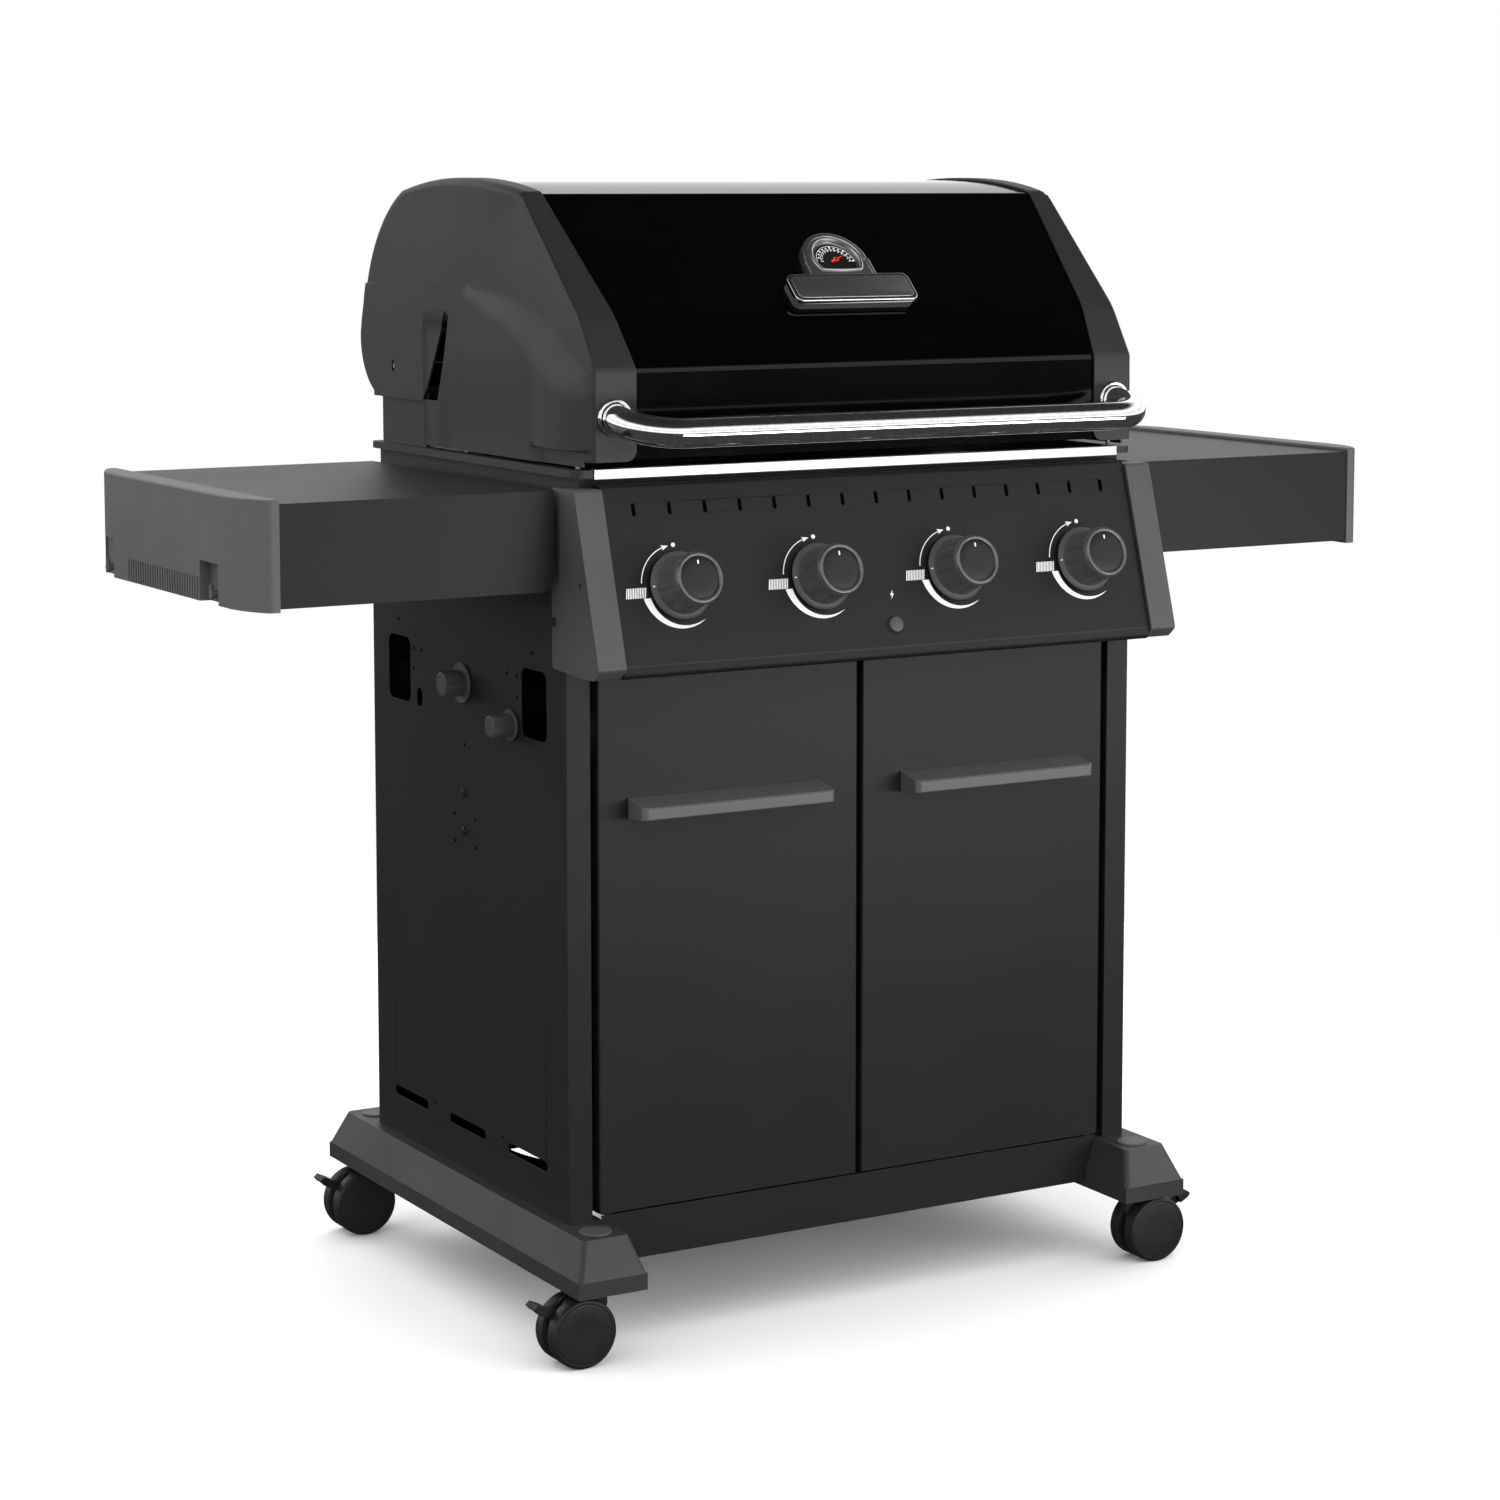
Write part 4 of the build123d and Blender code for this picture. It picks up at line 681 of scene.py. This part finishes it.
# ------------------------------------------------------------------ heat gauge and blank badge
GAUGE_Y = 58.0
GAUGE_Z = KNEE[1] + (GAUGE_Y - KNEE[0]) * (BROW[1] - KNEE[1]) / (BROW[0] - KNEE[0])
SHEET_DEPTH = 3.1             # of the hood sheet under the casting's outline
UP_HOOD = (0, BROW[0] - KNEE[0], BROW[1] - KNEE[1])
hood_plot = Plot((0, GAUGE_Y, GAUGE_Z), (1, 0, 0), UP_HOOD).moved(0, 0, -SHEET_DEPTH)
GAUGE_TOP = 13.0
DIAL_FACE = 9.8
WINDOW_R = 27.5
WINDOW_FLOOR = 16.0           # from the gauge's centre down to its window's flat bottom
BADGE_CENTRE = (0, -46)
MARKS = 13
MARKS_CENTRE = (0, -3)
STEPS = 96


def arch_reach(angle):
    """Distance from the gauge's centre to its housing's edge."""
    reach = 40.0
    if math.sin(angle) < -0.05:
        corner = min(42 / max(0.01, abs(math.cos(angle))), 30 / -math.sin(angle))
        reach = max(reach, corner)
    return reach


def window_reach(angle):
    """Distance from the gauge's centre to the edge of its flat-bottomed window."""
    if math.sin(angle) < 0:
        return min(WINDOW_R, WINDOW_FLOOR / -math.sin(angle))
    return WINDOW_R


ANGLES = [2 * math.pi * index / STEPS for index in range(STEPS)]
housing = Shape()
rings = []
for reach, shift, height in (
    (arch_reach, 0, 0.1), (arch_reach, 0, 11.4), (arch_reach, -0.5, 12.6), (arch_reach, -1.6, GAUGE_TOP),
    (arch_reach, -5.5, GAUGE_TOP), (arch_reach, -6.2, 12.2), (window_reach, 4.6, 12.2),
    (window_reach, 4.0, 13.4), (window_reach, 2.6, 14.2), (window_reach, 1.2, 13.6),
    (window_reach, 0.4, 12.2), (window_reach, 0.0, 9.4), (window_reach, -3.0, 9.2),
):
    ring = []
    for angle in ANGLES:
        radius = reach(angle) + shift
        ring.append(hood_plot.point(radius * math.cos(angle), radius * math.sin(angle), height))
    rings.append(ring)
housing.rings([*rings, rings[0]])
build("gauge_rim", housing, "lid", BRUSHED, ("gauge_housing",), 28)

badge_base = Shape()
badge_base.slab(hood_plot, rounded_box(77, 19, 9, centre=BADGE_CENTRE), 0.1, 9.6, 0.8)
build("badge_base", badge_base, "lid", MOULDED)
badge = Shape()
badge.slab(hood_plot, rounded_box(79, 20.5, 9, centre=BADGE_CENTRE), 9.7, 15.0, 1.6, 4)
build("badge_rim", badge, "lid", CHROME)
badge_face = Shape()
badge_face.slab(hood_plot, rounded_box(74.5, 16, 6.5, centre=BADGE_CENTRE), 15.0, 15.5, 0.3)
build("badge_face", badge_face, "lid", BRUSHED)

scale_marks = Shape()
for index in range(MARKS):
    angle = math.radians(176 - 172 * index / (MARKS - 1))
    long_mark = index % 3 == 0
    across = (math.cos(angle), math.sin(angle))
    for inner, outer, half in ((20.6, 23.6 if long_mark else 22.6, 0.75), (16.6, 18.2, 0.55)):
        if index == 0 and inner > 20:
            continue
        corners = []
        for radius, turn in ((inner, -half), (outer, -half), (outer, half), (inner, half)):
            u = MARKS_CENTRE[0] + radius * across[0] - turn * across[1]
            v = MARKS_CENTRE[1] + radius * across[1] + turn * across[0]
            corners.append((u, v))
        scale_marks.slab(hood_plot, corners, DIAL_FACE, DIAL_FACE + 0.15)
for radius in (19.4, 24.4):
    outer = arc_points(MARKS_CENTRE, radius, 2, 178, 40)
    inner = arc_points(MARKS_CENTRE, radius - 0.4, 178, 2, 40)
    scale_marks.slab(hood_plot, outer + inner, DIAL_FACE, DIAL_FACE + 0.12)
build("gauge_marks", scale_marks, "lid", PRINT)

# ------------------------------------------------------------------ control panel: knobs, igniter, printing
FASCIA_SLOPE = 55.0 / 184.0
FASCIA_TILT = math.atan(FASCIA_SLOPE)
KNOB_POINT = (-25.0 - FASCIA_SLOPE * 105.0, 834.0)
KNOB_X = (-261.2, -87.5, 87.5, 261.2)
FLUTES = 12


def fascia_plot(x, up=0.0):
    """Plane on the control panel's face at X, a distance up its slope from the knobs' axes."""
    rise = (0, math.sin(FASCIA_TILT), math.cos(FASCIA_TILT))
    return Plot((x, *KNOB_POINT), (1, 0, 0), rise).moved(0, up)


def flutes(angle, height):
    """Shallow hollows round a knob's grip that fade out at both ends."""
    strength = ease((height - 10) / 4) * ease((43 - height) / 7)
    wave = 0.5 - 0.5 * math.cos(FLUTES * angle)
    return -1.9 * strength * wave ** 3


KNOB_PROFILE = (
    (0, 4.5), (35.6, 4.5), (36.6, 5.2), (36.8, 6.2), (36.0, 7.2), (33.6, 8.2), (31.6, 9.0), (30.9, 10.5),
    (30.5, 14), (30.1, 18), (29.6, 24), (29.1, 30), (28.7, 36), (28.5, 40), (28.6, 43), (28.6, 45.5),
    (27.8, 46.8), (26.6, 47.4), (22.6, 47.4), (22.4, 46.2), (0, 46.2),
)
RING_PROFILE = (
    (22.5, 46.6), (27.4, 46.6), (27.6, 47.6), (26.8, 48.7), (25.2, 49.2), (23.6, 48.9), (22.6, 48.0),
    (22.5, 46.6),
)
CAP_PROFILE = ((0, 46.3), (22.3, 46.3), (22.3, 47.4), (21.4, 47.9), (12, 48.3), (0, 48.4))
BUTTON_PROFILE = ((0, -10), (8.8, -10), (8.8, 2.6), (8.2, 3.6), (7.0, 4.0), (0, 4.3))
for number, x in enumerate(KNOB_X, start=1):
    face = fascia_plot(x)
    grip = Shape()
    grip.lathe(face, KNOB_PROFILE, 144, flutes)
    build(f"knob_grip_{number}", grip, f"knob_{number}", MOULDED, (f"knob_{number}",))
    ring = Shape()
    ring.lathe(face, RING_PROFILE, STEPS)
    build(f"knob_ring_{number}", ring, f"knob_{number}", SATIN)
    cap = Shape()
    cap.lathe(face, CAP_PROFILE, 96)
    build(f"knob_cap_{number}", cap, f"knob_{number}", NYLON)
    marks = Shape()
    marks.slab(face, rounded_box(0.9, 2.2, 0.8, 4, (0, 16.8)), 47.9, 48.35)
    marks.slab(face, rounded_box(1.3, 0.7, 0.6, 4, (-34.0, 0)), 7.2, 8.5)
    build(f"knob_marks_{number}", marks, f"knob_{number}", PRINT)

BUTTON_UP = -58               # up the panel from the knobs' axes
button = Shape()
button.lathe(fascia_plot(0, BUTTON_UP), BUTTON_PROFILE, 64)
build("igniter_cap", button, "igniter_button", MOULDED, ("igniter_button",))

INK = (0.02, 0.14)            # heights of the print's underside and top
SCALE_R = 45.4                # outer radius of the crescent round a knob
SCALE_FROM, SCALE_TO = 194, 306
CRESCENT = 8.6                # its greatest width
BARS = 12
BAR_BOX = (-65, 24.5, -10.4, 0.7)   # left, width, bottom and top of the hatched bars
SPARK = ((1.4, 5.2), (-2.6, -0.6), (-0.3, -0.6), (-1.6, -5.2), (2.6, 1.1), (0.4, 1.1))
printing = Shape()
for x in KNOB_X:
    face = fascia_plot(x)
    printing.slab(face, arc_points((0, 44.8), 2.4, 0, 345, 23), *INK)
    line = arc_points((0, 0), 45.0, 108, 173, 30) + arc_points((0, 0), 43.9, 173, 108, 30)
    printing.slab(face, line, *INK)
    tip = math.radians(98)
    tail = math.radians(109)
    head = [(44.5 * math.cos(tip), 44.5 * math.sin(tip)), (47.6 * math.cos(tail), 47.6 * math.sin(tail)),
            (44.5 * math.cos(tail * 0.985), 44.5 * math.sin(tail * 0.985)),
            (41.6 * math.cos(tail), 41.6 * math.sin(tail))]
    printing.slab(face, head, *INK)
    first, width, low, high = BAR_BOX
    for index in range(BARS):
        left = first + width * index / BARS
        bar = [(left, low), (left + 1.15, low), (left + 3.3, high), (left + 2.15, high)]
        printing.slab(face, bar, *INK)
    outer = arc_points((0, 0), SCALE_R, SCALE_FROM, SCALE_TO, 48)
    inner = []
    for index in range(1, 48):
        share = index / 48
        angle = math.radians(SCALE_TO - (SCALE_TO - SCALE_FROM) * share)
        reach = SCALE_R - CRESCENT * share ** 0.85
        inner.append((reach * math.cos(angle), reach * math.sin(angle)))
    blunt = math.radians(SCALE_FROM + 3)
    inner.append(((SCALE_R - CRESCENT) * math.cos(blunt), (SCALE_R - CRESCENT) * math.sin(blunt)))
    printing.slab(face, outer + inner, *INK)
printing.slab(fascia_plot(1.5, -24.5), SPARK, *INK)
build("panel_printing", printing, "cabinet", PRINT)

# ------------------------------------------------------------------ side hand knobs, screws and hinge bolts
CABINET_HALF = 367.1
# Y, Z, disc radius and grip radius of each
HAND_KNOBS = ((253.5, 700.7, 23.0, 14.5), (131.0, 669.0, 17.5, 13.0))
SCREW_PLACES = ((CABINET_HALF, 252.0, 576.5), (CABINET_HALF, 252.0, 532.6), (372.0, 17.5, 795.0))


def ribs(angle, height):
    """Thirty fine ribs round a hand knob's grip, from its foot upwards."""
    return 0.35 * math.cos(30 * angle) * ease(height - 5)


hand_knobs = Shape()
for y, z, disc, grip in HAND_KNOBS:
    side_plot = Plot((-CABINET_HALF, y, z), (0, -1, 0), (0, 0, 1))
    profile = ((0, 0.1), (disc - 0.8, 0.1), (disc, 0.9), (disc, 2.4), (disc - 0.9, 3.2), (0, 3.2))
    hand_knobs.lathe(side_plot, profile)
    profile = ((0, 3.0), (grip - 1, 3.0), (grip - 0.6, 5), (grip, 6), (grip, 24.5), (grip - 1.2, 26.4),
               (grip - 3, 27), (grip - 4, 26.2), (0, 26.2))
    hand_knobs.lathe(side_plot, profile, 180, ribs)
build("hand_knobs", hand_knobs, "cabinet", MOULDED, ("side_hand_knobs",))

SCREW_PROFILE = (
    (0, -3), (2.2, -3), (2.2, 0), (5, 0.05), (5, 0.9), (4.4, 1.9), (3.2, 2.4), (2.3, 2.5), (2.0, 1.2),
    (0, 1.2),
)
screws = Shape()
for side in SIDES.values():
    for x, y, z in SCREW_PLACES:
        screws.lathe(Plot((side * x, y, z), (0, side, 0), (0, 0, 1)), SCREW_PROFILE, 32)
build("side_screws", screws, "cabinet", NYLON, ("frame_screws",))

# ------------------------------------------------------------------ caster wheels
WHEEL_R = 38.2
SWIVEL_X = 354.0
TRAIL = 24.4                  # from the swivel's axis out to the wheels' axle
AXLE_PROFILE = ((0, 0), (4, 0), (4, 14), (0, 14))
TYRE_PROFILE = (
    (0, 6.0), (30, 6.0), (36.6, 6.2), (37.8, 6.8), (38.2, 8.0), (38.2, 19.0), (37.7, 21.0), (36.4, 22.4),
    (34.6, 23.0), (33.6, 22.9), (33.2, 22.2), (32.8, 22.9), (31.5, 23.3), (16, 23.6), (0, 23.6),
)
for depth, y in (("front", -36.0), ("rear", 530.2)):
    for side_name, side in SIDES.items():
        wheels = Shape()
        centre = (side * (SWIVEL_X + TRAIL), y, WHEEL_R)
        for hand in (-1, 1):
            wheels.lathe(Plot(centre, (-hand, 0, 0), (0, 0, 1)), TYRE_PROFILE, 96)
        wheels.lathe(Plot((centre[0], y + 7, WHEEL_R), (1, 0, 0), (0, 0, 1)), AXLE_PROFILE, 24)
        name = f"{depth}_{side_name}"
        build(
            f"twin_wheels_{name}", wheels, f"wheels_{name}", NYLON,
            (f"caster_wheels_{name}",),
        )

# ------------------------------------------------------------------ stage
bpy.context.scene.view_settings.view_transform = "Standard"
FLOOR = surface("floor", (0.93, 0.93, 0.93), 0.9, grain=(40, 0.0), blotch=(0.8, 0.004), specular=0.1,
                speck=0.0)
FLOOR_CENTRE = (0.15, -0.2)
FLOOR_R = 2.0
floor_mesh = bpy.data.meshes.new("floor")
rim = [(FLOOR_CENTRE[0] + FLOOR_R * math.cos(a), FLOOR_CENTRE[1] + FLOOR_R * math.sin(a), 0) for a in ANGLES]
floor_mesh.from_pydata(rim, [], [tuple(range(STEPS))])
floor = bpy.data.objects.new("floor", floor_mesh)
floor_mesh.materials.append(FLOOR)
bpy.context.collection.objects.link(floor)
floor.visible_glossy = False
floor.visible_diffuse = False

DOME = (0.4, 1.5)             # light on matt surfaces from below and above the horizon
# light that mirrors see, from straight down at 0 to straight up at 1
LOWEST = (0.465, 0.05)
HIGHEST = (1.0, 0.02)
LEVELS = (
    (0.49, 0.3), (0.51, 1.3), (0.54, 1.4), (0.58, 1.05), (0.63, 0.95), (0.7, 1.3), (0.76, 1.2), (0.83, 0.04),
)
world = bpy.data.worlds.new("studio")
bpy.context.scene.world = world
world.use_nodes = True
sky = world.node_tree
background = sky.nodes["Background"]
direction = node(sky, "ShaderNodeTexCoord")
parts = node(sky, "ShaderNodeSeparateXYZ")
sky.links.new(direction.outputs["Generated"], parts.inputs["Vector"])
ramp = node(sky, "ShaderNodeValToRGB")
height = scale_range(sky, parts.outputs["Z"], -1.0, 1.0, 0.0, 1.0)
sky.links.new(height, ramp.inputs["Fac"])
stops = ramp.color_ramp.elements
for stop, (place, level) in zip(stops, (LOWEST, HIGHEST)):
    stop.position, stop.color = place, (level, level, level, 1)
for place, level in LEVELS:
    stops.new(place).color = (level, level, level, 1)
# mirrors see the levels, matt surfaces the two-level dome and the camera plain white
rays = node(sky, "ShaderNodeLightPath")
reflected = node(sky, "ShaderNodeMix", data_type="RGBA")
dome = scale_range(sky, parts.outputs["Z"], -0.1, 0.1, *DOME)
sky.links.new(dome, reflected.inputs[MIX_A])
sky.links.new(rays.outputs["Is Glossy Ray"], reflected.inputs["Factor"])
sky.links.new(ramp.outputs["Color"], reflected.inputs[MIX_B])
pick = node(sky, "ShaderNodeMix", data_type="RGBA")
sky.links.new(rays.outputs["Is Camera Ray"], pick.inputs["Factor"])
sky.links.new(reflected.outputs[MIXED], pick.inputs[MIX_A])
pick.inputs[MIX_B].default_value = (1.0, 1.0, 1.0, 1.0)
sky.links.new(pick.outputs[MIXED], background.inputs["Color"])
background.inputs["Strength"].default_value = 1.0

sun = bpy.data.lights.new("sun", "SUN")
sun.energy = 0.5
sun.angle = math.radians(50)
lamp = bpy.data.objects.new("sun", sun)
lamp.rotation_euler = Vector((-0.2, 0.35, 0.9)).to_track_quat("Z", "Y").to_euler()
lamp.visible_glossy = False
bpy.context.collection.objects.link(lamp)


def softbox(name, place, target, size, watts):
    """A rectangular area light aimed at a point."""
    data = bpy.data.lights.new(name, "AREA")
    data.shape = "RECTANGLE"
    data.size, data.size_y = size
    data.energy = watts
    box = bpy.data.objects.new(name, data)
    box.location = place
    box.rotation_euler = (Vector(target) - Vector(place)).to_track_quat("-Z", "Y").to_euler()
    bpy.context.collection.objects.link(box)


softbox("front", (0.7, -1.75, 0.6), (0, -0.25, 0.65), (1.7, 0.3), 13)

# the camera solved from the photograph's straight edges: metres, and degrees down and to the right
CAMERA_PLACE = (-2.0789, -3.5578, 1.2603)
CAMERA_DOWN = 6.241
CAMERA_RIGHT = 30.415
CAMERA_SHIFT = (-0.008, -0.12)
lens = bpy.data.cameras.new("camera")
lens.sensor_width = 36.0
lens.lens = 85.39
lens.shift_x, lens.shift_y = CAMERA_SHIFT
camera = bpy.data.objects.new("camera", lens)
camera.location = CAMERA_PLACE
camera.rotation_euler = (math.radians(90 - CAMERA_DOWN), 0, math.radians(-CAMERA_RIGHT))
bpy.context.collection.objects.link(camera)
bpy.context.scene.camera = camera
